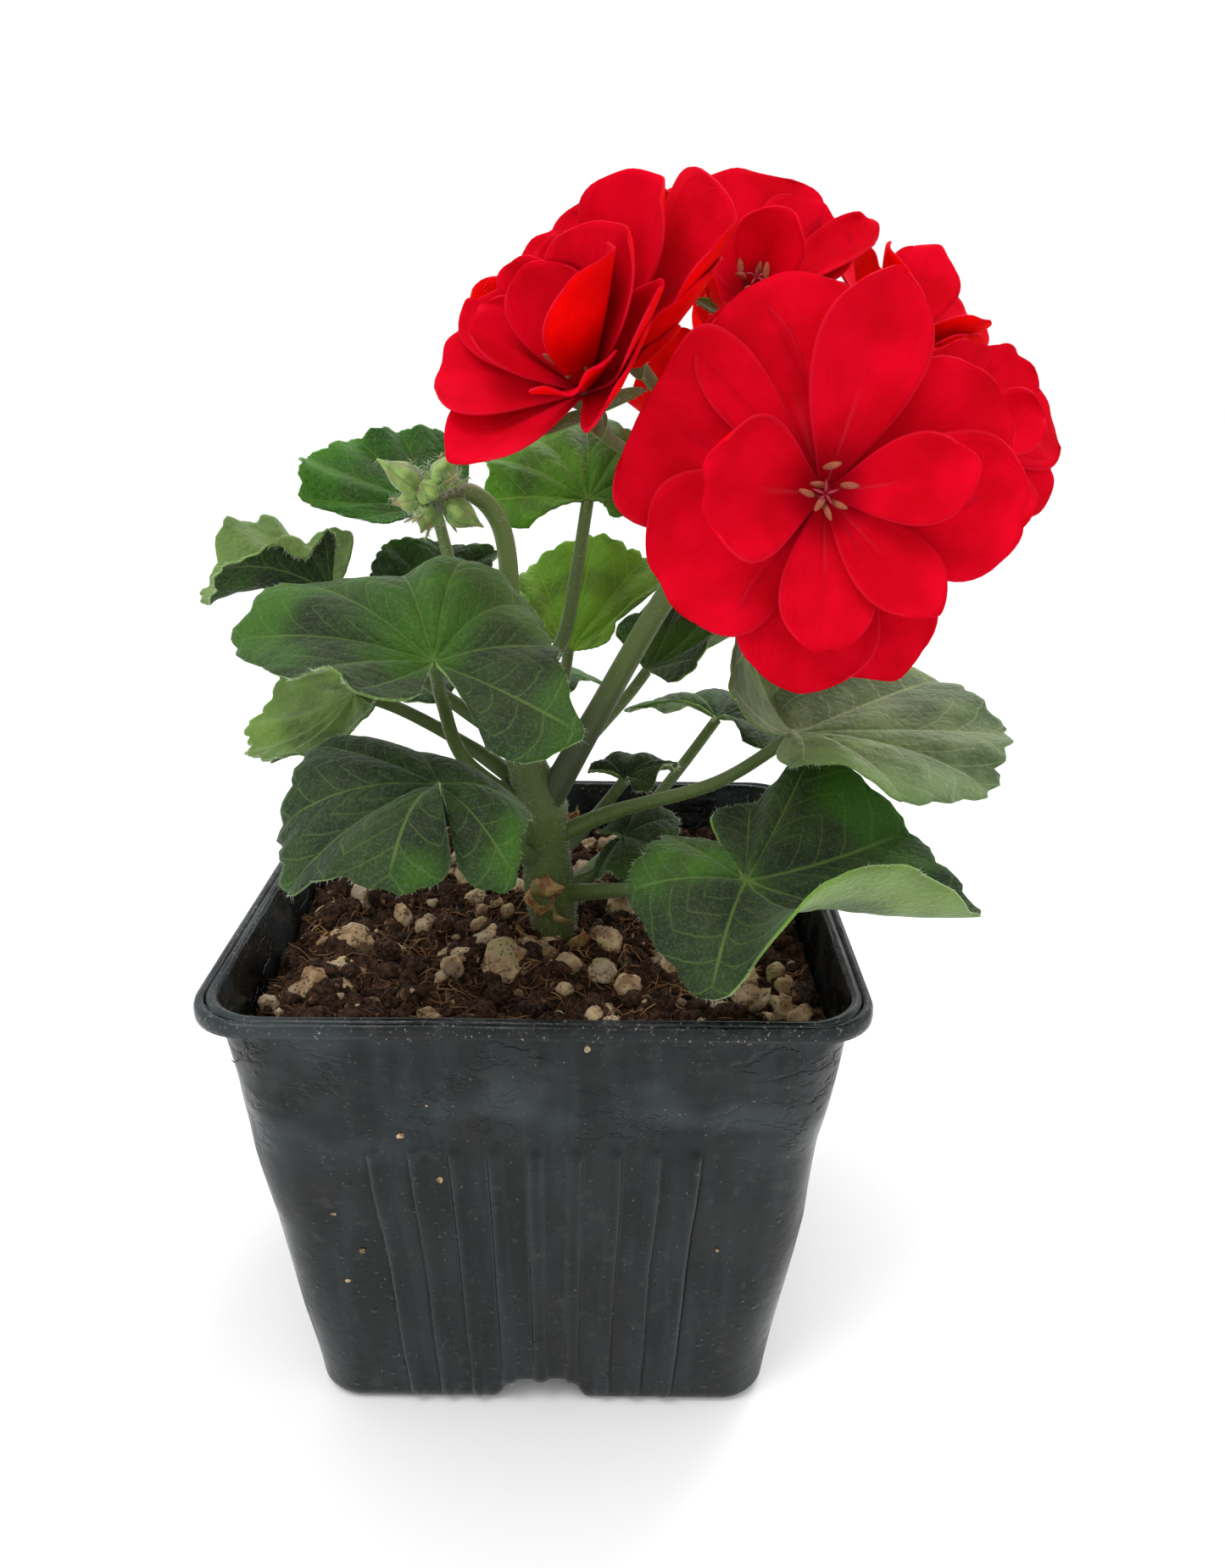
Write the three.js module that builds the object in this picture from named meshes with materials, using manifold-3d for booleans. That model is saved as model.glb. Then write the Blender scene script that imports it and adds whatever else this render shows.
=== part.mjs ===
// A potted zonal geranium: a young bedding plant with one open flower head and one head still in bud,
// standing in a square black nursery pot of peat and pumice.
// Units are millimetres and +Z is up. The origin is the middle of the pot's underside and -Y is the front.

import * as THREE from "three";
import { mergeVertices } from "three/addons/utils/BufferGeometryUtils.js";
import Module from "manifold-3d";

const wasm = await Module();
wasm.setup();

// Driving dimensions
const POT_WIDTH = 105; // across the rim, outside
const POT_HEIGHT = 86;
const POT_FOOT_WIDTH = 81; // across the foot, outside
const POT_WALL = 0.9;
const SOIL_LEVEL = 75; // peat surface near the walls
const CLEARANCE = 0.35; // left between pieces that touch
const LEAF_THICKNESS = 0.7;
const CURL_STEPS = 8; // steps in which a curling petal is followed
const PETAL_THICKNESS = 0.6;

// Vectors, angles and seeded draws

const X = new THREE.Vector3(1, 0, 0);
const Z = new THREE.Vector3(0, 0, 1);
const point = (xyz) => new THREE.Vector3(...xyz);
const radians = (degrees) => (degrees * Math.PI) / 180;
const cosine = (degrees) => Math.cos(radians(degrees));
const sine = (degrees) => Math.sin(radians(degrees));
const blend = (a, b, share) => a + (b - a) * share;

// A sum of directions, each times its own length
function along(...pairs) {
  const sum = new THREE.Vector3();
  for (const [direction, length] of pairs) sum.addScaledVector(direction, length);
  return sum;
}

// Draws between 0 and 1 that come out the same every time
function drawsFrom(seed) {
  let state = seed;
  return () => {
    state = (state * 1664525 + 1013904223) % 4294967296;
    return state / 4294967296;
  };
}

// Solids

function solidOf(geometry) {
  const bare = geometry.clone();
  bare.deleteAttribute("normal");
  bare.deleteAttribute("uv");
  const merged = mergeVertices(bare, 1e-4);
  return new wasm.Manifold(
    new wasm.Mesh({
      numProp: 3,
      vertProperties: merged.attributes.position.array,
      triVerts: new Uint32Array(merged.index.array),
    }),
  );
}

function geometryFrom(points, triangles) {
  const geometry = new THREE.BufferGeometry().setFromPoints(points);
  geometry.setIndex(triangles.flat());
  return geometry;
}

const joined = (solids) => solids.reduce((whole, piece) => whole.add(piece));

// The largest piece of a solid, without the scraps that a cut leaves loose
function largest(solid) {
  return solid.decompose().sort((a, b) => b.volume() - a.volume())[0];
}

const group = new THREE.Group();

function addNode(name, solid, material) {
  const { numProp, vertProperties, triVerts } = largest(solid).getMesh();
  const positions = new THREE.BufferAttribute(Float32Array.from(vertProperties), numProp);
  const geometry = new THREE.BufferGeometry().setAttribute("position", positions);
  geometry.setIndex(new THREE.BufferAttribute(Uint32Array.from(triVerts), 1));
  geometry.computeVertexNormals();
  const mesh = new THREE.Mesh(geometry, material);
  mesh.name = name;
  group.add(mesh);
}

// A thin blade: the same triangles on both faces of a middle surface, closed along its border
function bladeSolid(points, triangles, thickness) {
  const middle = geometryFrom(points, triangles);
  middle.computeVertexNormals();
  const normals = points.map((_, i) => new THREE.Vector3().fromBufferAttribute(middle.attributes.normal, i));
  const moved = (side) => points.map((p, i) => along([p, 1], [normals[i], side * thickness * 0.5]));
  const count = points.length;
  const edges = new Set(triangles.flatMap(([a, b, c]) => [`${a},${b}`, `${b},${c}`, `${c},${a}`]));
  const under = triangles.map(([a, b, c]) => [a + count, c + count, b + count]);
  const rim = [...edges]
    .map((edge) => edge.split(",").map(Number))
    .filter(([a, b]) => !edges.has(`${b},${a}`))
    .flatMap(([a, b]) => [
      [b, a, a + count],
      [b, a + count, b + count],
    ]);
  return solidOf(geometryFrom([...moved(1), ...moved(-1)], [...triangles, ...under, ...rim]));
}

// A round stalk along a smooth curve, with flat ends; radii follow the curve from its first end to its last
function stalkGeometry(path, radii, sides, steps) {
  const curve = new THREE.CatmullRomCurve3(path.map(point), false, "centripetal");
  const frames = curve.computeFrenetFrames(steps, false);
  const points = [];
  for (let step = 0; step <= steps; step++) {
    const share = step / steps;
    const place = share * (radii.length - 1);
    const low = Math.min(Math.floor(place), radii.length - 2);
    const radius = blend(radii[low], radii[low + 1], place - low);
    for (let side = 0; side < sides; side++) {
      const turn = (360 * side) / sides;
      points.push(
        along(
          [curve.getPointAt(share), 1],
          [frames.normals[step], radius * cosine(turn)],
          [frames.binormals[step], radius * sine(turn)],
        ),
      );
    }
  }
  return loftGeometry(points, sides);
}

const stalkSolid = (path, radii, sides, steps) => solidOf(stalkGeometry(path, radii, sides, steps));

// Closes rings of points, each with the same count, with flat ends
function loftGeometry(points, sides) {
  const rings = points.length / sides;
  const triangles = [];
  for (let ring = 0; ring < rings - 1; ring++)
    for (let side = 0; side < sides; side++) {
      const next = (side + 1) % sides;
      const [a, b] = [ring * sides + side, ring * sides + next];
      triangles.push([a, b, b + sides], [a, b + sides, a + sides]);
    }
  const middleOf = (ring) =>
    points
      .slice(ring * sides, (ring + 1) * sides)
      .reduce((sum, p) => sum.add(p), new THREE.Vector3())
      .divideScalar(sides);
  const [first, last] = [points.length, points.length + 1];
  const lastRing = points.length - sides;
  for (let side = 0; side < sides; side++) {
    const next = (side + 1) % sides;
    triangles.push([first, next, side], [last, lastRing + side, lastRing + next]);
  }
  return geometryFrom([...points, middleOf(0), middleOf(rings - 1)], triangles);
}

const loftSolid = (points, sides) => solidOf(loftGeometry(points, sides));

// Pot: one thermoformed shell with a rolled rim, flutes, arched gaps in its foot and round drain holes

const RIM_BAND = 3.2; // how far the rim stands out from the wall
const RIM_DEPTH = 2.6;
const CORNER_STEPS = 3;
const CORNER_RIM = 10;
const CORNER_FOOT = 8;
const FLUTES = 9;
const FLUTE_PITCH = 6.3;
const FLUTE_RADIUS = 0.8;
const FLUTE_TOP = 59;
const FLUTE_FOOT = 3;
const FLUTE_NARROWING = 0.86;
const FOOT_ROUND = 1.2; // rounding between the wall and the foot
const GAP_WIDTH = 16; // arched gaps in the middle of each side of the foot
const GAP_HEIGHT = 4.6;
const GAP_LENGTH = 26;
const DRAIN_RADIUS = 3.5;
const DRAIN_OFFSET = 23;

// Half the pot's outside width at a height, under the rim
const potHalf = (z) => blend(POT_FOOT_WIDTH / 2, POT_WIDTH / 2 - RIM_BAND + POT_WALL, z / POT_HEIGHT);
const potCorner = (z) => blend(CORNER_FOOT, CORNER_RIM, z / POT_HEIGHT);

function roundedSquare(half, radius, z, steps = CORNER_STEPS) {
  const points = [];
  for (let corner = 0; corner < 4; corner++)
    for (let step = 0; step <= steps; step++) {
      const turn = 90 * (corner + step / steps);
      const [sx, sy] = [corner === 0 || corner === 3 ? 1 : -1, corner < 2 ? 1 : -1];
      points.push(
        new THREE.Vector3(
          sx * (half - radius) + radius * cosine(turn),
          sy * (half - radius) + radius * sine(turn),
          z,
        ),
      );
    }
  return points;
}

function squareLoft(levels) {
  const rings = levels.map(({ half, radius, z }) => roundedSquare(half, radius, z));
  return loftSolid(rings.flat(), rings[0].length);
}

// A bar with a rounded top along +X, from the middle of the pot out past its wall
function archBar(width, height, inner, outer) {
  const shape = new THREE.Shape();
  const half = width / 2;
  const flat = 0.62 * half; // half the level part of the arch
  shape.moveTo(-half, -1);
  shape.lineTo(half, -1);
  shape.quadraticCurveTo(0.9 * half, height, flat, height);
  shape.lineTo(-flat, height);
  shape.quadraticCurveTo(-0.9 * half, height, -half, -1);
  const depth = outer - inner;
  const bar = new THREE.ExtrudeGeometry(shape, { depth, bevelEnabled: false, curveSegments: 4 });
  bar.rotateX(Math.PI / 2);
  bar.rotateZ(Math.PI / 2);
  return bar.translate(inner, 0, 0);
}

// The same geometry at each side of the pot
function quarterTurns(geometry) {
  return joined([0, 90, 180, 270].map((turn) => solidOf(geometry.clone().rotateZ(radians(turn)))));
}

function potOutside() {
  const wall = (z, out = 0) => ({ half: potHalf(z) + out, radius: potCorner(z), z });
  const rimFoot = POT_HEIGHT - RIM_DEPTH;
  return squareLoft([
    { half: potHalf(0) - FOOT_ROUND, radius: CORNER_FOOT - 1, z: 0 },
    wall(FOOT_ROUND),
    wall(rimFoot),
    { half: POT_WIDTH / 2 - 0.3, radius: CORNER_RIM, z: rimFoot },
    { half: POT_WIDTH / 2, radius: CORNER_RIM, z: POT_HEIGHT - 1 },
    { half: POT_WIDTH / 2 - 1, radius: CORNER_RIM - 0.6, z: POT_HEIGHT },
  ]);
}

function potInside() {
  const inner = (z, shrink = 0) => ({
    half: potHalf(z) - POT_WALL - shrink,
    radius: potCorner(z) - POT_WALL - shrink,
    z,
  });
  return squareLoft([inner(POT_WALL, 0.8), inner(POT_WALL + FOOT_ROUND), inner(POT_HEIGHT + 1)]);
}

// One flute of the front wall, from its place in the row; the row narrows towards the foot
function flute(number) {
  const x = (number - (FLUTES - 1) / 2) * FLUTE_PITCH;
  const foot = [x * FLUTE_NARROWING, -potHalf(FLUTE_FOOT), FLUTE_FOOT];
  return stalkGeometry([foot, [x, -potHalf(FLUTE_TOP), FLUTE_TOP]], [FLUTE_RADIUS, FLUTE_RADIUS], 3, 1);
}

function potSolid() {
  const gapStart = potHalf(0) - GAP_LENGTH;
  const gap = archBar(GAP_WIDTH, GAP_HEIGHT, gapStart, POT_WIDTH);
  const gapWidth = GAP_WIDTH + 2 * POT_WALL;
  const gapWall = archBar(gapWidth, GAP_HEIGHT + POT_WALL, gapStart - POT_WALL, potHalf(0) - 0.4);
  const drain = new THREE.CylinderGeometry(DRAIN_RADIUS, DRAIN_RADIUS, 4, 12).rotateX(Math.PI / 2);
  drain.translate(DRAIN_OFFSET, DRAIN_OFFSET, 0);
  const flutes = Array.from({ length: FLUTES }, (_, number) => quarterTurns(flute(number)));
  const gapWalls = quarterTurns(gapWall).intersect(potOutside());
  return joined([potOutside().subtract(potInside()), gapWalls, ...flutes])
    .subtract(quarterTurns(gap))
    .subtract(quarterTurns(drain));
}

// Stem: a stout green stem with swollen joints that forks below the leaves

const STEM_FOOT = [1.4, -6, 44];
const STEM_FORK = [-1, -6, 103];
const STEM_TIP = [-8, -1, 127];

function stemSolid(grow = 0) {
  const thick = (...radii) => radii.map((radius) => radius + grow);
  const trunk = [STEM_FOOT, [1.4, -6, 76], [0, -6, 92], STEM_FORK];
  const branch = [STEM_FORK, [-5, -4, 115], STEM_TIP];
  return joined([
    stalkSolid(trunk, thick(4.1, 4.1, 4.3, 4.9, 4.1, 4.9, 4.2, 5), 8, 7),
    stalkSolid(branch, thick(4.6, 3.4, 4, 2.4), 7, 3),
  ]);
}

// Soil: peat that fills the pot, with pumice grains lying half sunk in its surface

const SOIL_RINGS = 3;
const SOIL_SECTORS = 24;
const SOIL_SQUARENESS = 9; // exponent of the superellipse that the peat fills
const GRAINS = 14;
const GRAIN_SPREAD = 84;
const SOIL_SEED = 11;

// Height of the peat over a place
function soilHeight(x, y) {
  const heap = 3.2 * Math.exp(-((x - 1) ** 2 + (y + 6) ** 2) / 260);
  const waves = 0.9 * Math.sin(x * 0.31 + 1.3) * Math.cos(y * 0.27);
  const clods = 0.6 * Math.sin(x * 0.63 + y * 0.51) + 0.4 * Math.cos(y * 0.9);
  return SOIL_LEVEL + heap + waves + clods;
}

// The peat's outline at one height, which follows the inside of the pot
function soilOutline(z, shrink) {
  const half = potHalf(z) - POT_WALL - CLEARANCE - shrink;
  return Array.from({ length: SOIL_SECTORS }, (_, i) => {
    const turn = (360 * i) / SOIL_SECTORS;
    const [x, y] = [cosine(turn), sine(turn)];
    const reach = Math.abs(x) ** SOIL_SQUARENESS + Math.abs(y) ** SOIL_SQUARENESS;
    const size = half / reach ** (1 / SOIL_SQUARENESS);
    return new THREE.Vector3(x * size, y * size, z);
  });
}

function pumiceGrain(draw) {
  const x = (draw() - 0.5) * GRAIN_SPREAD;
  const y = (draw() - 0.5) * GRAIN_SPREAD;
  const size = 1.6 + 2.6 * draw() ** 2;
  const grain = new THREE.IcosahedronGeometry(size, 0);
  grain.scale(1, 0.7 + 0.3 * draw(), 0.6 + 0.3 * draw());
  grain.rotateZ(draw() * 6);
  grain.rotateX(draw() - 0.5);
  return solidOf(grain.translate(x, y, soilHeight(x, y) + size * 0.25));
}

function soilSolid() {
  const draw = drawsFrom(SOIL_SEED);
  const floor = POT_WALL + CLEARANCE;
  const edge = soilOutline(SOIL_LEVEL, 0.3);
  const rings = [soilOutline(floor, 1.4), soilOutline(floor + 1.6, 0.3)];
  for (let ring = SOIL_RINGS; ring > 0; ring--) {
    const inward = edge.map(({ x, y }) => [(x * ring) / SOIL_RINGS, (y * ring) / SOIL_RINGS]);
    rings.push(inward.map(([x, y]) => new THREE.Vector3(x, y, soilHeight(x, y))));
  }
  const grains = Array.from({ length: GRAINS }, () => pumiceGrain(draw));
  const gapTop = GAP_HEIGHT + POT_WALL + 2 * CLEARANCE;
  const gaps = archBar(GAP_WIDTH + 4, gapTop, potHalf(0) - GAP_LENGTH - 2, POT_WIDTH);
  return joined([loftSolid(rings.flat(), SOIL_SECTORS), ...grains])
    .subtract(quarterTurns(gaps))
    .subtract(stemSolid(CLEARANCE));
}

// Leaves: round, softly lobed blades with a scalloped edge and a deep notch, each on a long petiole.
// at is where the petiole meets the blade. tips are the lobes' tips counter-clockwise as seen from above,
// from one side of the notch to the other: x, y, z and how far the lobe's rib arches up on its way there.

const NOTCH_TURN = 27; // how far the blade runs on past its first and last rib
const NOTCH_SHARE = 0.6; // the same, in steps from rib to rib
const LOBE_DEPTH = 0.04;
const TOOTH_DEPTH = 0.04;
const PLEAT = 0.8;
const RUFFLE = 1.3; // how far the edge waves up and down

const leaves = [
  {
    name: "leaf_left_front",
    fine: true,
    at: [-16, -25, 134],
    stalk: [[-3, -7, 102], [-14, -8, 112], [-16.5, -14, 124]],
    ruffle: 2.6,
    tips: [
      [8, -40, 127.5, 1],
      [3, -22, 135, 2],
      [-1, -10, 141, 4],
      [-12, -4, 144, 7],
      [-25, -4, 144, 6],
      [-42, -8, 142, 4],
      [-50, -17, 135, 3],
      [-37, -33, 135, 1],
      [-25, -42, 133, 0],
    ],
  },
  {
    name: "leaf_front_low",
    fine: true,
    at: [-14.5, -34, 117],
    stalk: [[-3, -9, 94], [-7, -18, 101], [-11, -28, 111]],
    ruffle: 2,
    tips: [
      [-2, -44, 106, 3],
      [-1, -31, 111, 3],
      [-22, -17, 118, 2],
      [-36, -22, 118, 2],
      [-40, -35, 112, 3],
      [-37, -44, 103, 4],
      [-20, -52, 108, 5],
    ],
  },
  {
    name: "leaf_right_low",
    fine: true,
    at: [32.5, -36, 102.5],
    stalk: [[4, -7, 86], [14, -16, 91], [25, -30, 98]],
    ruffle: 1.6,
    tips: [
      [20, -26, 106, 1],
      [14, -38, 101, 2],
      [26, -54, 93, 2],
      [47, -53, 112, -6],
      [68, -42, 102, -3],
      [62, -20, 105, -1],
      [45, -14, 116, -1],
      [35, -17, 109, -1],
    ],
  },
  {
    name: "leaf_right_high",
    fine: true,
    at: [42, -15, 119.5],
    stalk: [[2, -6, 97], [12, -7, 102], [30, -10, 109]],
    ruffle: 2.4,
    tips: [
      [42, -27, 119, 2],
      [56, -36, 115, 4],
      [73, -28, 116, 3],
      [78, -14, 118, 2],
      [71, 1, 127, 0],
      [34, 2, 136, -3],
      [30, -22, 131, -2],
    ],
  },
  {
    name: "leaf_centre_top",
    fine: true,
    at: [7, 8, 154.5],
    stalk: [[-6, -1.5, 121], [2, 5, 129], [5, 7, 142]],
    ruffle: 1.6,
    tips: [
      [14, 7, 154, 1],
      [21, 16, 158, 2],
      [17, 25, 165, 3],
      [6, 28, 166, 3],
      [-5, 22, 165, 3],
      [-11, 12, 161, 2],
      [-11, 4, 155, 1],
    ],
  },
  {
    name: "leaf_back_left",
    fine: true,
    at: [-21, 17, 152],
    stalk: [[-8, -1.5, 122], [-14, 6, 131], [-18, 13, 142]],
    ruffle: 2.2,
    tips: [
      [-15, 15, 152, 1],
      [-15, 24, 163, -1],
      [-20, 29, 166, -1],
      [-29, 31, 163, 1],
      [-37, 27, 165, -1],
      [-45, 19, 160, 0],
      [-44, 11, 154, 0],
      [-32, 8, 152, 0],
    ],
  },
  {
    name: "leaf_left_back",
    fine: true,
    at: [-38, 4, 138],
    stalk: [[-6, -3.5, 114], [-18, 0, 121], [-31, 3, 131]],
    ruffle: 2.4,
    tips: [
      [-37, -3, 149, -3],
      [-45, -4, 149, -4],
      [-54, -7, 142, -3],
      [-60, 0, 140, -1],
      [-58, 9, 147, 0],
      [-51, 17, 150, 1],
      [-41, 17, 147, 1],
    ],
  },
  {
    name: "leaf_left_low",
    at: [-32, -9, 124],
    stalk: [[-6, -3, 107], [-14, -1, 112], [-25, -5, 120]],
    tips: [
      [-29, -17, 121, 1],
      [-43, -20, 116, 2],
      [-50, -13, 113, 2],
      [-53, -6, 117, 2],
      [-47, 2, 123, 2],
      [-37, 3, 126, 1],
    ],
  },
  {
    name: "leaf_behind_buds",
    at: [-22, 18, 137],
    stalk: [[-6, -2, 118], [-14, 11, 124], [-20, 17, 131]],
    tips: [
      [-12, 18, 137, 1],
      [-10, 23, 143, 1],
      [-20, 24, 145, 1],
      [-31, 23, 144, 1],
      [-34, 18, 140, 1],
      [-30, 13, 137, 1],
    ],
  },
  {
    name: "leaf_young_back",
    at: [3, 22, 124],
    stalk: [[-3.5, -3, 109], [-1, 8, 112], [2, 17, 118]],
    ruffle: 1.6,
    tips: [
      [12, 18, 131, -1],
      [21, 24, 137, -1],
      [18, 32, 142, 0],
      [8, 35, 144, 0],
      [-4, 31, 141, 0],
      [-8, 22, 136, -1],
      [-3, 16, 133, -1],
    ],
  },
  {
    name: "leaf_back_right",
    at: [18, 19, 121],
    stalk: [[-0.5, -4, 105.5], [9, 10, 112], [15, 17, 117]],
    ruffle: 1.6,
    tips: [
      [27, 8, 127, 0],
      [39, 11, 134, -1],
      [43, 20, 138, -2],
      [37, 29, 141, -2],
      [26, 34, 138, -1],
      [17, 32, 130, 0],
    ],
  },
  {
    name: "leaf_small_dark",
    at: [14, 7, 103],
    stalk: [[1.5, -4, 92], [7, 3, 95], [11, 6, 99]],
    ruffle: 1,
    tips: [
      [19, 2, 104, 1],
      [24, 6, 106, 1],
      [23, 11, 105, 2],
      [16, 14, 105, 2],
      [9, 12, 105, 2],
      [7, 7, 105, 1],
    ],
  },
  {
    name: "leaf_small_front",
    at: [14, -4, 96],
    stalk: [[3, -5.5, 86], [9, -4.5, 89], [12, -4, 93]],
    tips: [
      [9, -8, 90, 1],
      [15, -14, 91, 2],
      [23, -10, 94, 2],
      [24, -2, 98, 2],
      [17, 5, 99, 1],
      [10, 2, 95, 1],
    ],
  },
  {
    name: "leaf_rear_left",
    at: [-14, 36, 114],
    stalk: [[-1.5, -4, 99], [-6, 12, 104], [-11, 27, 110]],
    tips: [
      [3, 27, 114, 2],
      [10, 40, 112, 3],
      [2, 56, 110, 4],
      [-14, 61, 108, 4],
      [-31, 54, 110, 4],
      [-38, 39, 111, 3],
      [-31, 26, 113, 2],
    ],
  },
  {
    name: "leaf_rear_right",
    at: [33, 30, 108],
    stalk: [[2.5, -4.5, 84], [13, 9, 89], [26, 24, 100]],
    tips: [
      [47, 16, 107, 2],
      [57, 29, 105, 3],
      [54, 44, 104, 4],
      [42, 54, 103, 4],
      [25, 53, 104, 4],
      [15, 42, 106, 3],
    ],
  },
];

// The ribs run from the petiole; between them every value follows a smooth curve
function ribsOf({ at, tips }) {
  const heart = point(at);
  const spread = new THREE.CatmullRomCurve3(tips.map((tip) => point(tip).sub(heart)));
  const arch = new THREE.SplineCurve(tips.map(([, , , rise], i) => new THREE.Vector2(i, rise)));
  const up = new THREE.Vector3();
  for (let i = 1; i < tips.length; i++) up.add(spread.points[i - 1].clone().cross(spread.points[i]));
  return { heart, spread, arch, up: up.normalize(), last: tips.length - 1 };
}

// A point of the blade's middle surface: place counts ribs round the blade, share runs out to the edge
function bladePoint({ heart, spread, arch, up, last }, place, share, edge, ruffle = RUFFLE) {
  const inside = Math.min(Math.max(place, 0), last);
  const past = (place - inside) / NOTCH_SHARE;
  const reach = spread.getPoint(inside / last).applyAxisAngle(up, radians(NOTCH_TURN * past));
  const lobed = 1 - LOBE_DEPTH * (0.5 - 0.5 * cosine(360 * inside));
  const length = share * edge * lobed * (1 - 0.3 * past * past);
  const lift = arch.getPoint(inside / last).y * 4 * share * (1 - share);
  const wave = ruffle * Math.sin(place * 2.6) * share ** 3;
  const pleat = PLEAT * cosine(360 * inside) * share * (1 - past * past);
  return along([heart, 1], [reach, length], [up, lift + wave - pleat]);
}

// Triangles between two rows of points, where the outer row has as many steps as the inner, or twice
function rowTriangles(inner, innerSteps, outer, outerSteps) {
  const triangles = [];
  for (let i = 0; i < innerSteps; i++)
    if (outerSteps === innerSteps)
      triangles.push([inner + i, outer + i, outer + i + 1], [inner + i, outer + i + 1, inner + i + 1]);
    else
      triangles.push(
        [inner + i, outer + 2 * i, outer + 2 * i + 1],
        [inner + i, outer + 2 * i + 1, inner + i + 1],
        [inner + i + 1, outer + 2 * i + 1, outer + 2 * i + 2],
      );
  return triangles;
}

const FINE_ROWS = [
  { share: 0.3, steps: 10 },
  { share: 0.65, steps: 20 },
  { share: 0.9, steps: 20 },
  { share: 1, steps: 40 },
];
const PLAIN_ROWS = [
  { share: 0.4, steps: 8 },
  { share: 0.8, steps: 16 },
  { share: 1, steps: 32 },
];

function leafBlade(leaf) {
  const ribs = ribsOf(leaf);
  const points = [ribs.heart];
  const triangles = [];
  let previous;
  for (const { share, steps } of leaf.fine ? FINE_ROWS : PLAIN_ROWS) {
    const start = points.length;
    for (let i = 0; i <= steps; i++) {
      const place = blend(-NOTCH_SHARE, ribs.last + NOTCH_SHARE, i / steps);
      const edge = share === 1 && i % 2 === 0 ? 1 - TOOTH_DEPTH : 1;
      points.push(bladePoint(ribs, place, share, edge, leaf.ruffle));
    }
    if (previous) triangles.push(...rowTriangles(previous.start, previous.steps, start, steps));
    else for (let i = 0; i < steps; i++) triangles.push([0, start + i, start + i + 1]);
    previous = { start, steps };
  }
  return bladeSolid(points, triangles, LEAF_THICKNESS);
}

function leafSolid(leaf) {
  const { heart, up } = ribsOf(leaf);
  const top = along([heart, 1], [up, -0.3]).toArray();
  const petiole = stalkSolid([...leaf.stalk, top], [1.7, 1.25, 1.15, 1.1], 5, 5);
  return leafBlade(leaf).add(petiole).subtract(stemSolid(CLEARANCE));
}

// Florets: semi-double flowers, each with a wide outer ring and a steeper inner ring of petals. at is the
// eye, face the way the floret looks and reach how far it spreads. A petal says how far it is turned
// clockwise from the floret's top, its length and width, how steeply it rises from the floret's face, how
// much it curls towards the eye by its tip, how deeply it is cupped and how far it is rolled to one side.
// keeps is the share of the room that a floret has to itself on its side of the front one.

const HUB = [33, -4, 158]; // where the pedicels spring from the flower stalk
const EYE_RADIUS = 2;
const FRONT_REACH = 30;
const PRESS_DEPTH = 4; // petals bend over this depth where they would cross the next floret's
const PRESS_GAP = 0.6;

const petal = (turn, length, width, rise, curl, cup, roll = 0) => ({
  turn,
  length,
  width,
  rise,
  curl,
  cup,
  roll,
});

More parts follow.
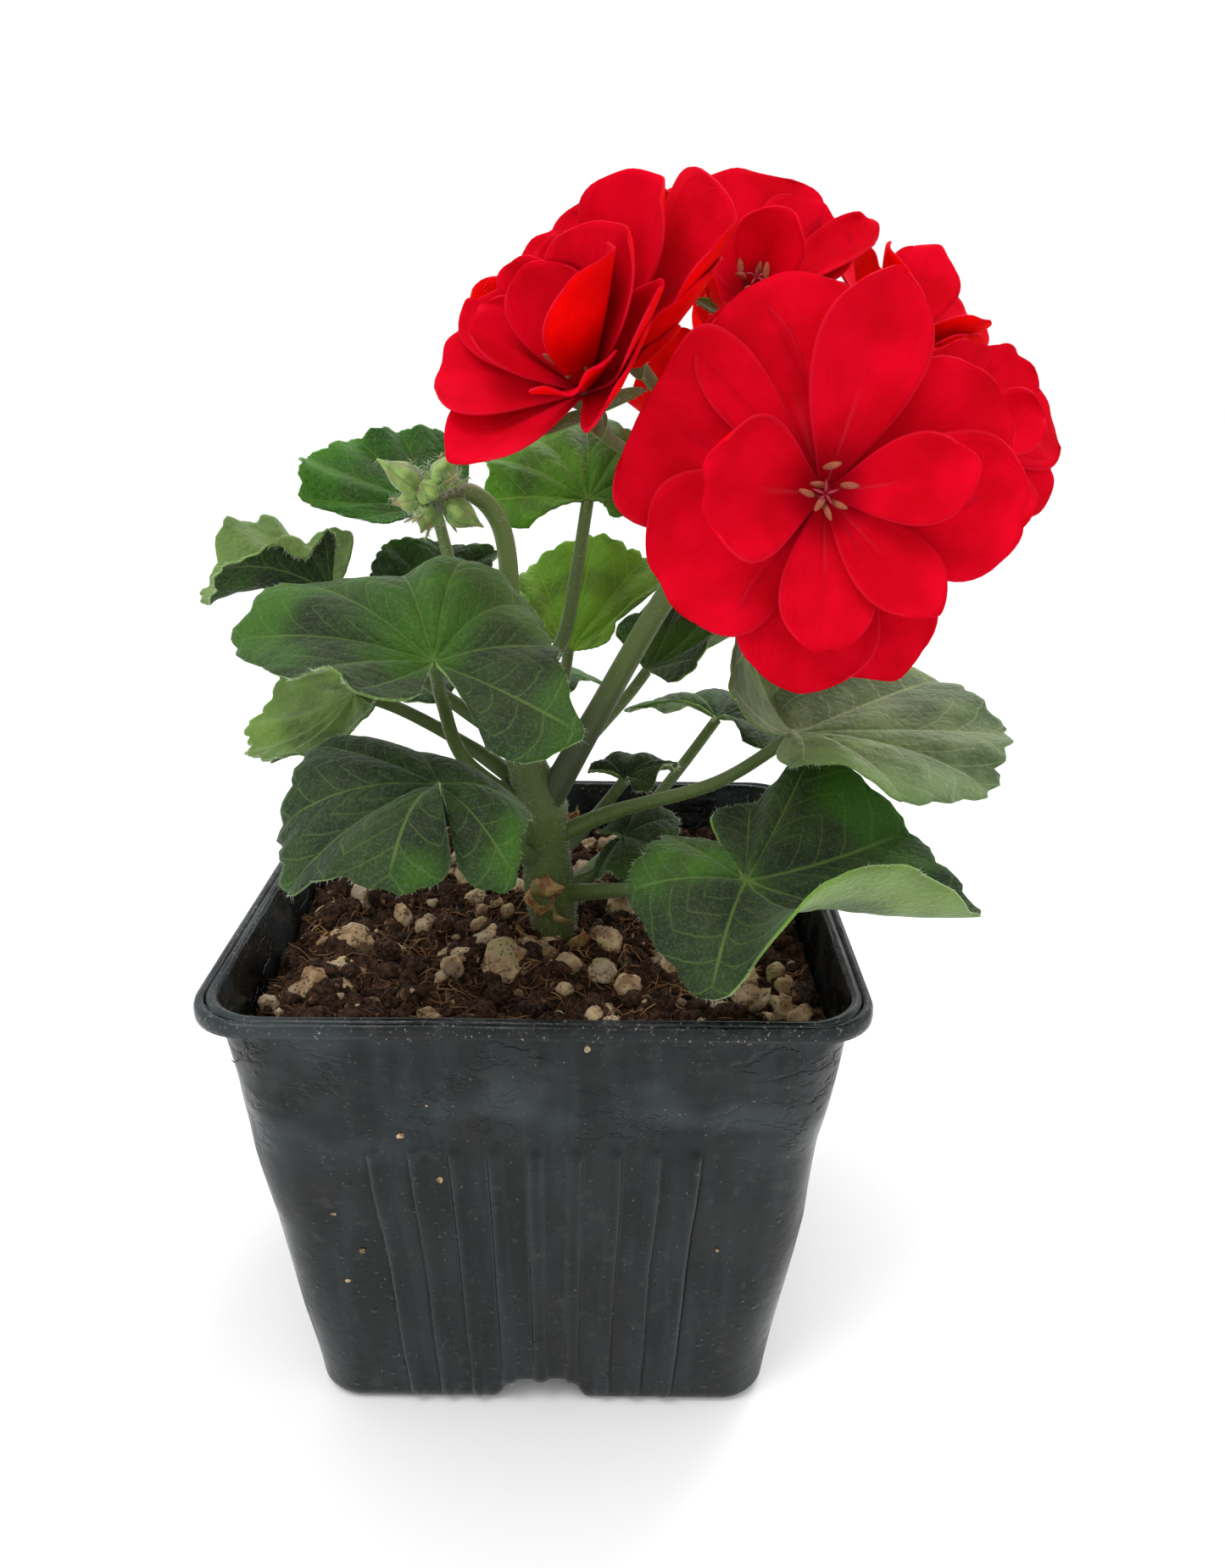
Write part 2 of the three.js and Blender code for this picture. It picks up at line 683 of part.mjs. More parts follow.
const florets = [
  {
    name: "floret_front",
    at: [41, -33, 161],
    face: [-0.12, -0.98, 0.12],
    reach: FRONT_REACH,
    petals: [
      petal(-20, 30, 24, 8, -10, 0.2),
      petal(15, 30, 16, 20, -15, 0.4, -20),
      petal(-42, 32, 20, 2, -5, 0.2),
      petal(-68, 33, 28, 8, -5, 0.2),
      petal(-120, 27, 24, 12, 5, 0.2),
      petal(184, 28, 20, 10, -5, 0.25),
      petal(155, 28, 18, 2, -5, 0.2),
      petal(94, 28, 20, 10, -5, 0.2),
      petal(62, 27, 20, 5, -5, 0.2),
      petal(-88, 21, 19, 32, 10, 0.5),
      petal(176, 24, 13, 26, 0, 0.3),
      petal(134, 24, 12, 24, 0, 0.3, 25),
      petal(80, 23, 12, 30, 5, 0.3),
    ],
  },
  {
    name: "floret_left",
    at: [7.5, -26, 174],
    face: [-0.35, -0.58, 0.73],
    reach: 21,
    keeps: 0.2,
    petals: [
      petal(-100, 22, 21, 26, -10, 0.2),
      petal(-148, 22, 16, 18, -10, 0.2),
      petal(-55, 23, 20, 28, 0, 0.2),
      petal(-12, 24, 20, 38, 0, 0.3),
      petal(30, 25, 19, 50, 5, 0.3),
      petal(140, 17, 13, 45, -10, 0.3),
      petal(106, 19, 19, 16, 0, 0.2),
      petal(62, 22, 19, 26, 0, 0.25),
      petal(78, 24, 16, 60, 5, 0.4, 20),
      petal(-88, 19, 12, 46, 0, 0.35),
      petal(-30, 19, 13, 58, 5, 0.4),
    ],
  },
  {
    name: "floret_upper_left",
    at: [12.5, -15, 182],
    face: [-0.4, -0.68, 0.62],
    reach: 26,
    keeps: 0.32,
    petals: [
      petal(68, 27, 26, 26, 5, 0.25),
      petal(108, 25, 21, 22, 0, 0.2),
      petal(150, 22, 22, 12, 0, 0.2),
      petal(24, 22, 18, 44, 0, 0.5),
      petal(-8, 21, 22, 24, 0, 0.2),
      petal(-50, 20, 19, 26, -5, 0.25),
      petal(-95, 19, 17, 30, 0, 0.25),
      petal(-62, 17, 11, 54, 5, 0.35, -15),
      petal(0, 15, 10, 60, 0, 0.4, 20),
    ],
  },
  {
    name: "floret_top",
    at: [32, -6, 186],
    face: [0.1, -0.76, 0.64],
    reach: 22,
    keeps: 0.32,
    petals: [
      petal(-4, 20, 25, 22, 0, 0.2),
      petal(50, 19, 17, 22, 0, 0.3),
      petal(74, 23, 12, 26, 5, 0.5, 25),
      petal(-62, 21, 20, 28, 0, 0.2),
      petal(130, 18, 17, 22, -10, 0.2),
      petal(185, 17, 17, 24, -10, 0.2),
      petal(-115, 19, 17, 30, 0, 0.25),
      petal(30, 15, 11, 62, 0, 0.4),
    ],
  },
  {
    name: "floret_upper_right",
    at: [56, 6, 180],
    face: [0.5, -0.35, 0.8],
    reach: 23,
    rule: { seed: 12, spin: 20, slope: 22 },
  },
  {
    name: "floret_right",
    at: [65, -6, 166.5],
    face: [0.35, -0.78, 0.5],
    reach: 22,
    keeps: 0.3,
    petals: [
      petal(82, 22, 18, 4, -5, 0.15),
      petal(124, 20, 15, 4, -5, 0.15),
      petal(40, 19, 17, 16, 0, 0.2),
      petal(-10, 19, 17, 20, 0, 0.2),
      petal(168, 19, 16, 12, 0, 0.2),
      petal(215, 19, 17, 18, 0, 0.2),
      petal(-80, 18, 16, 28, 0, 0.2),
      petal(100, 15, 11, 40, 0, 0.35),
    ],
  },
  {
    name: "floret_rear_left",
    at: [12, 8, 184],
    face: [-0.45, 0.15, 0.88],
    reach: 25,
    rule: { seed: 24, spin: 30, slope: 28 },
  },
  {
    name: "floret_rear",
    at: [37, 22, 174],
    face: [0.1, 0.85, 0.5],
    reach: 28,
    rule: { seed: 21, spin: 15, slope: 14 },
  },
];

// Petals of a floret that isn't set by hand
function ruledPetals(reach, { seed, spin, slope }) {
  const draw = drawsFrom(seed);
  const ring = (count, size, lean, shift) =>
    Array.from({ length: count }, (_, i) => ({
      turn: spin + shift + (360 * i) / count + 16 * (draw() - 0.5),
      length: size * blend(0.9, 1.08, draw()),
      width: size * blend(0.7, 0.85, draw()),
      rise: lean + 16 * (draw() - 0.5),
      curl: blend(-25, 10, draw()),
      cup: blend(0.12, 0.4, draw()),
      roll: 24 * (draw() - 0.5),
    }));
  return [...ring(5, reach, slope, 0), ...ring(3, 0.78 * reach, slope + 28, 36)];
}

function floretAxes({ face }) {
  const out = point(face).normalize();
  const top = along([Z, 1], [out, -out.z]).normalize();
  return { out, top, right: new THREE.Vector3().crossVectors(top, out) };
}

// Keeps a petal out of the next floret: past a plane between the two it bends to run along that plane
function press(place, floret) {
  for (const other of florets) {
    if (other === floret) continue;
    const own = point(floret.at);
    const toNext = point(other.at).sub(own);
    const distance = toNext.length();
    toNext.divideScalar(distance);
    const even = floret.reach / (floret.reach + other.reach);
    const left = floret === florets[0] ? 1 - (other.keeps ?? 1 - even) : even;
    const kept = other === florets[0] ? (floret.keeps ?? even) : left;
    const past = place.clone().sub(own).dot(toNext) - (distance * kept - PRESS_GAP - PRESS_DEPTH);
    if (past > 0) place.addScaledVector(toNext, PRESS_DEPTH * (1 - Math.exp(-past / PRESS_DEPTH)) - past);
  }
  return place;
}

// Half the petal's width as a share of its widest, from the claw to the tip
function petalShape(share) {
  const swell = Math.sin((Math.PI / 2) * Math.min(1, share / 0.74)) ** 1.25;
  const close = share > 0.74 ? Math.sqrt(1 - ((share - 0.74) / 0.34) ** 2) : 1;
  return (0.09 + 0.91 * swell) * close;
}

function petalPoint(floret, axes, petal, share, across) {
  const { turn, length, width, rise, curl, cup, roll } = petal;
  const heading = along([axes.top, cosine(turn)], [axes.right, sine(turn)]);
  const sideways = new THREE.Vector3().crossVectors(heading, axes.out);
  const reach = share * (1 - 0.1 * across * across * share);
  let [ahead, out, slope] = [0, 0, rise];
  for (let step = 0; step < CURL_STEPS; step++) {
    slope = rise + curl * ((reach * (step + 0.5)) / CURL_STEPS) ** 1.5;
    ahead += (cosine(slope) * length * reach) / CURL_STEPS;
    out += (sine(slope) * length * reach) / CURL_STEPS;
  }
  const half = (width / 2) * petalShape(share);
  const bend = cup * half * across * across + half * across * sine(roll);
  const normal = along([heading, -sine(slope)], [axes.out, cosine(slope)]);
  const place = along(
    [point(floret.at), 1],
    [heading, ahead],
    [axes.out, out],
    [sideways, half * across * cosine(roll)],
    [normal, bend],
  );
  return press(place, floret);
}

// A blade over a grid of points, one row for each share of its length
function gridBlade(pointAt, shares, acrosses, thickness) {
  const columns = acrosses.length;
  const points = shares.flatMap((share) => acrosses.map((across) => pointAt(share, across)));
  const triangles = [];
  for (let row = 0; row < shares.length - 1; row++)
    for (let column = 0; column < columns - 1; column++) {
      const a = row * columns + column;
      triangles.push([a, a + 1, a + columns + 1], [a, a + columns + 1, a + columns]);
    }
  return bladeSolid(points, triangles, thickness);
}

const PETAL_ROWS = [0, 0.4, 0.76, 1];
const FINE_COLUMNS = [-1, -0.4, 0.4, 1];
const PLAIN_COLUMNS = [-1, 0, 1];

function floretSolid(floret, grow = 0) {
  const axes = floretAxes(floret);
  const petals = floret.petals ?? ruledPetals(floret.reach, floret.rule);
  const columns = floret.reach === FRONT_REACH ? FINE_COLUMNS : PLAIN_COLUMNS;
  const eye = new THREE.IcosahedronGeometry(EYE_RADIUS + grow, 0).translate(...floret.at);
  const blades = petals.map((petal) =>
    gridBlade(
      (share, across) => petalPoint(floret, axes, petal, share, across),
      PETAL_ROWS,
      columns,
      PETAL_THICKNESS + 2 * grow,
    ),
  );
  return joined([solidOf(eye), ...blades]);
}

// Stamens: dark filaments with orange-brown anthers in the eye of each floret that faces out

const STAMENS = 5;
const STAMEN_LENGTH = 5;

// A ring of points round a floret's axis, each second one at the second radius
function starRing(base, { out, top, right }, points, depth, radii) {
  return Array.from({ length: 2 * points }, (_, i) => {
    const turn = (180 * i) / points;
    const radius = radii[i % 2];
    return along([base, 1], [out, depth], [top, radius * cosine(turn)], [right, -radius * sine(turn)]);
  });
}

function stamensSolid(floret) {
  const axes = floretAxes(floret);
  const ring = (depth, radii) => starRing(point(floret.at), axes, STAMENS, EYE_RADIUS + depth, radii);
  const rings = [
    ring(0, [0.6, 0.5]),
    ring(STAMEN_LENGTH * 0.75, [2, 0.6]),
    ring(STAMEN_LENGTH, [2.4, 0.3]),
  ];
  return loftSolid(rings.flat(), 2 * STAMENS).subtract(floretSolid(floret, CLEARANCE));
}

// Opening bud: one floret that hangs half open under the others, red petals rolled together

const BUD_TOP = [36.5, -16, 142];
const BUD_AXES = floretAxes({ face: [0.35, -0.1, -1] });

const OPENING = [
  { depth: 0.4, radius: 1.4 },
  { depth: 3, radius: 3.4 },
  { depth: 7, radius: 4.2 },
  { depth: 10.5, radius: 2.8 },
  { depth: 12, radius: 0.8 },
];

function openingFloretSolid() {
  const rings = OPENING.map(({ depth, radius }) =>
    starRing(point(BUD_TOP), BUD_AXES, 4, depth, [radius, radius]),
  );
  return loftSolid(rings.flat(), 8);
}

// Flower stalk: the green peduncle, its pedicels and the star of pointed sepals behind each floret

const SEPALS = 5;
const SEPAL_REACH = 7;
const BUD_SEPAL_REACH = 4;
const CALYX_DROP = 2.4; // from a floret's eye back to its calyx

// A shallow star with a point for each sepal, opening from a pedicel's end
function calyxSolid(base, axes, reach = SEPAL_REACH) {
  const ring = (depth, radii) => starRing(base, axes, SEPALS, depth, radii);
  const rings = [ring(-2.4, [0.9, 0.9]), ring(-0.8, [reach, 1.7]), ring(0, [reach, 1.7])];
  return loftSolid(rings.flat(), 2 * SEPALS);
}

function flowerStalkSolid() {
  const pedicel = (path) => stalkSolid(path, [0.9, 0.9, 1.1], 4, 2);
  const peduncle = [[0, -6.5, 103], [8.4, -7, 119], [21.6, -6.5, 142.7], HUB];
  const pieces = [
    stalkSolid(peduncle, [2.6, 2.1, 1.9, 2.2], 6, 4),
    pedicel([HUB, [33.5, -10, 151], along([point(BUD_TOP), 1], [BUD_AXES.out, -1.6]).toArray()]),
    calyxSolid(point(BUD_TOP), BUD_AXES, BUD_SEPAL_REACH),
  ];
  for (const floret of florets) {
    const axes = floretAxes(floret);
    const base = along([point(floret.at), 1], [axes.out, -CALYX_DROP]);
    const neck = along([base, 1], [axes.out, -7]);
    const end = along([base, 1], [axes.out, -1.6]);
    pieces.push(pedicel([HUB, neck.toArray(), end.toArray()]), calyxSolid(base, axes));
  }
  return joined(pieces).subtract(stemSolid(CLEARANCE));
}

// Bud head: a second flower head on a crooked stalk, still a bunch of hairy pointed buds

const BUD_HEAD = [-17, -10, 157];
const BUDS = 7;
const BUD_LENGTH = 7;
const BUD_SEED = 4;

function budHeadSolid() {
  const draw = drawsFrom(BUD_SEED);
  const nod = point([-0.75, -0.5, 0.4]).normalize(); // the way the head faces
  const core = new THREE.IcosahedronGeometry(2.6, 0).translate(...BUD_HEAD);
  const stalk = [[-7, -2, 121], [-6, -2, 140], [-7.5, -2.5, 152], [-11.5, -5, 157], BUD_HEAD];
  const pieces = [stalkSolid(stalk, [1.9, 1.7, 1.6, 1.5], 5, 6), solidOf(core)];
  for (let i = 0; i < BUDS; i++) {
    const turn = 137.5 * i;
    const tilt = 1 - (1.5 * (i + 0.5)) / BUDS;
    const flat = Math.sqrt(1 - tilt * tilt);
    const heading = along([nod, tilt], [X, flat * cosine(turn)], [Z, flat * sine(turn)]);
    const length = BUD_LENGTH * blend(0.8, 1.1, draw());
    const placeAt = (share) => along([point(BUD_HEAD), 1], [heading, share * length + 1]).toArray();
    pieces.push(stalkSolid([0.1, 0.45, 0.75, 1].map(placeAt), [1, 2.2, 1.9, 0.4], 5, 3));
  }
  return joined(pieces).subtract(stemSolid(CLEARANCE));
}

// Materials

const matte = (color, roughness) => new THREE.MeshStandardMaterial({ color, roughness, metalness: 0 });
const potPlastic = matte(0x24282b, 0.4);
const peat = matte(0x3b261b, 0.95);
const leafGreen = matte(0x3f6b33, 0.75);
const stemGreen = matte(0x66823f, 0.6);
const petalRed = matte(0xd0000c, 0.5);
const antherBrown = matte(0xb8703c, 0.8);

addNode("pot", potSolid(), potPlastic);
addNode("soil", soilSolid(), peat);
addNode("stem", stemSolid(), stemGreen);
addNode("flower_stalk", flowerStalkSolid(), stemGreen);
addNode("bud_head", budHeadSolid(), stemGreen);
for (const leaf of leaves) addNode(leaf.name, leafSolid(leaf), leafGreen);
for (const floret of florets) {
  addNode(floret.name, floretSolid(floret), petalRed);
  addNode(floret.name.replace("floret", "stamens"), stamensSolid(floret), antherBrown);
}
addNode("floret_opening", openingFloretSolid(), petalRed);

export default group;
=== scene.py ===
import math

import bpy
import numpy as np
from mathutils import Matrix, Vector, noise


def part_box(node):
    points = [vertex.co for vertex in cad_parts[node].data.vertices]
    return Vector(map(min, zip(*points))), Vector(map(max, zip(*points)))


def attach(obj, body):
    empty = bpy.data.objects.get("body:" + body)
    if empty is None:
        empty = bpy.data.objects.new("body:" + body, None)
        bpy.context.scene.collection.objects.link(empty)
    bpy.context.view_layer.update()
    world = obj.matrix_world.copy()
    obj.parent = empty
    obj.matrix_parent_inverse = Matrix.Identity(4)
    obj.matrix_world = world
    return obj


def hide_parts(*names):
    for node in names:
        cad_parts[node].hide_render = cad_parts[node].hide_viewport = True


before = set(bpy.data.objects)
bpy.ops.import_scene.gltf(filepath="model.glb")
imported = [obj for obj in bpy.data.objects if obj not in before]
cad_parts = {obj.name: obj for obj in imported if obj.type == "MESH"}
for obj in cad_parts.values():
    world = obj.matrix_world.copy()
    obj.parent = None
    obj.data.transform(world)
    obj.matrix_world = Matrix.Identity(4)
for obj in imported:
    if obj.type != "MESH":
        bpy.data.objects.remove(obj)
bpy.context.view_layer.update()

# The pot is one sheet of black plastic drawn over a mould: a rolled rim with two beads, nine
# shallow flutes on each side, an arched gap in the middle of each side of its foot, and four
# drain holes punched in its floor.

MM = 0.001  # the plant's sizes are worked out in millimetres
POT_WIDTH = (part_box("pot")[1].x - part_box("pot")[0].x) / MM
POT_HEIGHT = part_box("pot")[1].z / MM
POT_FOOT_WIDTH = 81
POT_WALL = 0.9
FLAT_FLOOR = 38.4  # half the floor's width, up to its rounded edge
RIM_BAND = 3.2
CORNER_RIM = 10
CORNER_FOOT = 8
FLUTES = 9
FLUTE_PITCH = 6.3
FLUTE_FOOT_SHARE = 0.86  # of that pitch at the foot, where the flutes draw together
FLUTE_TOP = 59
FLUTE_FOOT = 3
FLUTE_DEPTH = 0.85
FLUTE_HALF = 1.25
FLUTE_EDGE = 0.6
GAP_LENGTH = 26
GAP_HEIGHT = 4.6
GAP_TOP = 5.4  # half the width of its flat top
GAP_SLOPE = 3
GAP_FADE = 16  # the height where the wall is straight again
CHANNEL_RAMP = 2
DRAIN_RADIUS = 3.5
DRAIN_OFFSET = 23
DENTS_TOP = 83
WALL_DENTS = [(0.8, 22, 0), (0.26, 8, 90)]  # depth, size and place in the noise
RIM_WAVE = (0.12, 26)  # height and length
PUNCH_DEPTH = 5


def deselect():
    bpy.ops.object.select_all(action="DESELECT")


def skin(name, across, along, shape):
    """A grid whose points are moved to shape(u, v), in millimetres. Points that meet are merged."""
    deselect()
    bpy.ops.mesh.primitive_grid_add(x_subdivisions=across, y_subdivisions=along, size=1)
    piece = bpy.context.object
    piece.name = piece.data.name = name
    flat = np.empty((len(piece.data.vertices), 3), np.float32)
    piece.data.vertices.foreach_get("co", flat.ravel())
    places = shape(flat[:, 0] + 0.5, flat[:, 1] + 0.5) * MM
    piece.data.vertices.foreach_set("co", places.astype(np.float32).ravel())
    bpy.ops.object.mode_set(mode="EDIT")
    bpy.ops.mesh.select_all(action="SELECT")
    bpy.ops.mesh.remove_doubles(threshold=0.01 * MM)
    bpy.ops.object.mode_set(mode="OBJECT")
    bpy.ops.object.shade_smooth()
    return piece


def thicken(piece, thickness, under=0):
    """Gives a skin its thickness, half to each side. under counts on to the other face's material."""
    wall = piece.modifiers.new("wall", "SOLIDIFY")
    wall.thickness = thickness * MM
    wall.offset = 0
    wall.material_offset = wall.material_offset_rim = under
    bpy.context.view_layer.objects.active = piece
    bpy.ops.object.modifier_apply(modifier=wall.name)
    return piece


def rumple(points, size):
    """Smooth noise from -1 to 1 at each point, with lumps of the given size."""
    return np.array([noise.noise(Vector(p)) for p in points / size])


def rough(points, layers):
    """Noise in layers, each its depth, the size of its lumps and its place in the noise."""
    return sum(depth * rumple(points + offset, size) for depth, size, offset in layers)


def smooth(share):
    """Eases a share from 0 to 1 in and out."""
    return share * share * (3 - 2 * share)


def settle(piece, slot, *materials):
    """Gives a finished piece its materials and its body. slot is not used."""
    if materials:
        piece.data.materials.clear()
    for material in materials:
        piece.data.materials.append(material)
    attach(piece, "root")


def pot_half(z):
    foot = POT_FOOT_WIDTH / 2
    return foot + (POT_WIDTH / 2 - RIM_BAND + POT_WALL - foot) * z / POT_HEIGHT


# Where the wall's middle line runs: half its width and its height, from the floor to the rim's edge
floor_rows = [(half, POT_WALL / 2) for half in (0, 6, 12, 14, 16, 18, 22, 26, 30, 34, 37, FLAT_FLOOR)]
foot_rows = [(39.3, 0.75), (39.9, 1.3), (40.2, 2.1)]
wall_heights = [3, 4.2, 6, 9, 14, 20, 27, 34, 41, 47, 52, 55.5, 57.5, 58.2, 58.8, 59.3, 59.8, 60.4]
wall_heights += [61.5, 63, 65, 67, 69.5, 72, 75, 78, 80, 81.5, 82.5, 83.3]
wall_rows = [(pot_half(z) - POT_WALL / 2, z) for z in wall_heights]
rim_rows = [(49.65, 84.2), (49.75, 84.9), (50, 85.4), (50.35, 85.52), (50.65, 85.3), (50.9, 84.95)]
rim_rows += [(51.15, 84.95), (51.4, 85.3), (51.65, 85.52), (51.9, 85.42), (52.03, 85), (52.05, 84.2)]
rim_rows += [(52, 83.6)]
profile = np.array(floor_rows + foot_rows + wall_rows + rim_rows)
foot_end = len(floor_rows) + len(foot_rows) - 1
rim_start = len(profile) - len(rim_rows)

RING_COLUMNS = 544
QUARTER = RING_COLUMNS // 4
STRAIGHT_KNOTS = [0, 8 / QUARTER, 116 / QUARTER, 124 / QUARTER]  # most columns lie over the flutes
FLUTED_SHARE = 0.74


def pot_shape(u, v):
    row = v * (len(profile) - 1)
    half = np.interp(row, np.arange(len(profile)), profile[:, 0])
    z = np.interp(row, np.arange(len(profile)), profile[:, 1])
    corner = CORNER_FOOT + (CORNER_RIM - CORNER_FOOT) * z / POT_HEIGHT - POT_WALL / 2
    corner = corner * np.clip(half / FLAT_FLOOR, 0, 1)
    quarter = np.floor(4 * u).clip(0, 3)
    local = 4 * u - quarter
    along = np.interp(local, STRAIGHT_KNOTS, [-1, -FLUTED_SHARE, FLUTED_SHARE, 1])
    bend = np.interp(local, [STRAIGHT_KNOTS[-1], 1], [0, math.pi / 2])
    x = along * (half - corner)
    # The gap under the foot lifts the floor's edge and the wall above it
    side = np.clip((np.abs(x) - GAP_TOP) / GAP_SLOPE, 0, 1)
    arch = (1 - smooth(side)) * (bend == 0)
    arch *= np.clip((half - (POT_FOOT_WIDTH / 2 - GAP_LENGTH)) / CHANNEL_RAMP, 0, 1)
    z = z + GAP_HEIGHT * arch * np.clip(1 - z / GAP_FADE, 0, 1)
    on_wall = (row > foot_end) & (row < rim_start)
    half = np.where(on_wall, pot_half(z) - POT_WALL / 2, half)
    # Flutes stand out of the wall, with round ends
    place = np.clip((z - FLUTE_FOOT) / (FLUTE_TOP - FLUTE_FOOT), 0, 1)
    pitch = FLUTE_PITCH * (FLUTE_FOOT_SHARE + (1 - FLUTE_FOOT_SHARE) * place)
    number = np.clip(np.round(x / pitch), -(FLUTES // 2), FLUTES // 2)
    past = np.maximum(z - FLUTE_TOP, 0) + np.maximum(FLUTE_FOOT - z, 0)
    off = np.hypot(x - number * pitch, past)
    half = half + on_wall * FLUTE_DEPTH * smooth(np.clip((FLUTE_HALF - off) / FLUTE_EDGE, 0, 1))
    x = along * (half - corner) + corner * np.sin(bend)
    y = -(half - corner) - corner * np.cos(bend)
    turn = quarter * math.pi / 2
    points = np.stack([x * np.cos(turn) - y * np.sin(turn), x * np.sin(turn) + y * np.cos(turn), z], 1)
    # Soft dents in the thin wall, none at the rim and the foot
    slack = on_wall * np.sin(math.pi * np.clip(z / DENTS_TOP, 0, 1)) ** 0.7
    dent = slack * rough(points, WALL_DENTS)
    points[:, :2] *= (1 + dent / np.maximum(half, 1))[:, None]
    wave, wave_length = RIM_WAVE
    points[:, 2] += wave * (row >= rim_start) * rumple(points * [1, 1, 0], wave_length)
    return points


class Wire:
    """One output among a material's nodes. Arithmetic on it adds Math nodes."""

    def __init__(self, tree, socket=None):
        self.tree = tree
        self.socket = socket

    def node(self, kind, settings=None, sockets=None, out=0):
        """Adds a node of any kind: its settings first, then the values or links of its sockets."""
        made = self.tree.nodes.new(kind)
        for name, setting in (settings or {}).items():
            setattr(made, name, setting)
        for name, value in (sockets or {}).items():
            if isinstance(value, Wire):
                self.tree.links.new(value.socket, made.inputs[name])
            else:
                made.inputs[name].default_value = value
        return Wire(self.tree, made.outputs[out])

    def maths(self, operation, *operands):
        return self.node("ShaderNodeMath", {"operation": operation}, dict(enumerate(operands)))

    def __add__(self, other):
        return self.maths("ADD", self, other)

    def __sub__(self, other):
        return self.maths("SUBTRACT", self, other)

    def __rsub__(self, other):
        return self.maths("SUBTRACT", other, self)

    def __mul__(self, other):
        return self.maths("MULTIPLY", self, other)

    __radd__, __rmul__ = __add__, __mul__

    def __abs__(self):
        return self.maths("ABSOLUTE", self)

    def into(self, shader, name):
        self.tree.links.new(self.socket, shader.inputs[name])


def new_finish(name, **constants):
    """A material with its constant sockets set, its shader, and its Object coordinates."""
    material = bpy.data.materials.new(name)
    material.use_nodes = True
    shader = material.node_tree.nodes["Principled BSDF"]
    for socket, value in constants.items():
        shader.inputs[socket.replace("_", " ")].default_value = value
    place = Wire(material.node_tree).node("ShaderNodeTexCoord", out="Object")
    return material, shader, place


def axis(vector, name):
    """The X, Y or Z of a vector."""
    return vector.node("ShaderNodeSeparateXYZ", None, {"Vector": vector}, out=name)


def paint(*channels):
    """A colour given as it looks on a screen, 0 to 255."""
    return (*(((c / 255 + 0.055) / 1.055) ** 2.4 for c in channels), 1)


def mottle(place, size, detail=3, stretch=(1, 1, 1)):
    """Noise from 0 to 1 with patches of the given size."""
    drawn = place.node("ShaderNodeMapping", None, {"Vector": place, "Scale": stretch})
    scale = 1 / (size * MM)
    return place.node("ShaderNodeTexNoise", None, {"Vector": drawn, "Scale": scale, "Detail": detail})


def cells(place, size, feature="F1"):
    """Distance from the middle, or from the edge, of cells of the given size."""
    settings = {"feature": feature}
    return place.node("ShaderNodeTexVoronoi", settings, {"Vector": place, "Scale": 1 / (size * MM)})


def between(wire, low, high):
    """0 where wire is under low and 1 where it is over high, smooth in between."""
    sockets = {"Value": wire, "From Min": low, "From Max": high}
    return wire.node("ShaderNodeMapRange", {"interpolation_type": "SMOOTHSTEP"}, sockets)


def patches(place, size, detail, low, high, stretch=(1, 1, 1)):
    """Patches of the given size, 1 inside and 0 outside, with edges from low to high in the noise."""
    return between(mottle(place, size, detail, stretch), low, high)


def mixed(share, low, high):
    """Colour low where share is 0 and colour high where it is 1."""
    return share.node("ShaderNodeMix", {"data_type": "RGBA"}, {0: share, 6: low, 7: high}, out=2)


def emboss(height, depth, shader, strength=1):
    """Bumps the surface by a height from 0 to 1 of the given depth."""
    sockets = {"Strength": strength, "Distance": depth * MM, "Height": height}
    height.node("ShaderNodeBump", None, sockets, out="Normal").into(shader, "Normal")


pot_plastic, shader, place = new_finish("pot_plastic", IOR=1.45, Specular_IOR_Level=0.28)
height = axis(place, "Z")
blotch = patches(place, 16, 4, 0.4, 0.65)
streak = patches(place, 5, 3, 0.42, 0.7, (1, 1, 0.12))
speck = patches(place, 0.55, 1, 0.73, 0.77)
near_rim = between(height, 0.081, 0.084)
dust = speck * (0.3 + 0.7 * near_rim) + near_rim * patches(place, 0.7, 4, 0.6, 0.72) * 0.35
wall_colour = mixed(blotch, paint(8, 14, 16), paint(23, 24, 25))
wall_colour = mixed(streak * 0.5, wall_colour, paint(38, 49, 51))
stain = patches(place, 3.2, 5, 0.6, 0.68) * 0.35
wall_colour = mixed(stain, wall_colour, paint(52, 52, 51))
# Painted reflection: paler blue-grey patches in the band under the rim stand in for light reflected by the
# glossy wall
painted_gleam = patches(place, 24, 2, 0.48, 0.64, (1, 1, 1.5)) * between(height, 0.05, 0.068)
wall_colour = mixed(painted_gleam * 0.5, wall_colour, paint(58, 66, 69))
mixed(dust.maths("MINIMUM", dust, 0.8), wall_colour, paint(150, 146, 140)).into(shader, "Base Color")
(0.17 + 0.2 * blotch + 0.14 * streak + 0.35 * dust).into(shader, "Roughness")
crease = mottle(place, 9, 4, (1, 1, 1.7)) - 0.5
creased = patches(place, 17, 2, 0.44, 0.6) * between(height, 0.056, 0.068) * (1 - near_rim)
crease = (1 - between(abs(crease), 0, 0.05)) * creased
sag = mottle(place, 14, 2, (1, 1, 1.6)) * between(height, 0.05, 0.07)
pimple = 1 - between(cells(place, 4), 0.05, 0.16)
emboss(1 - crease * 0.45 + pimple * 0.12 + 1.6 * sag + 0.14 * mottle(place, 2, 3), 0.9, shader, 0.9)

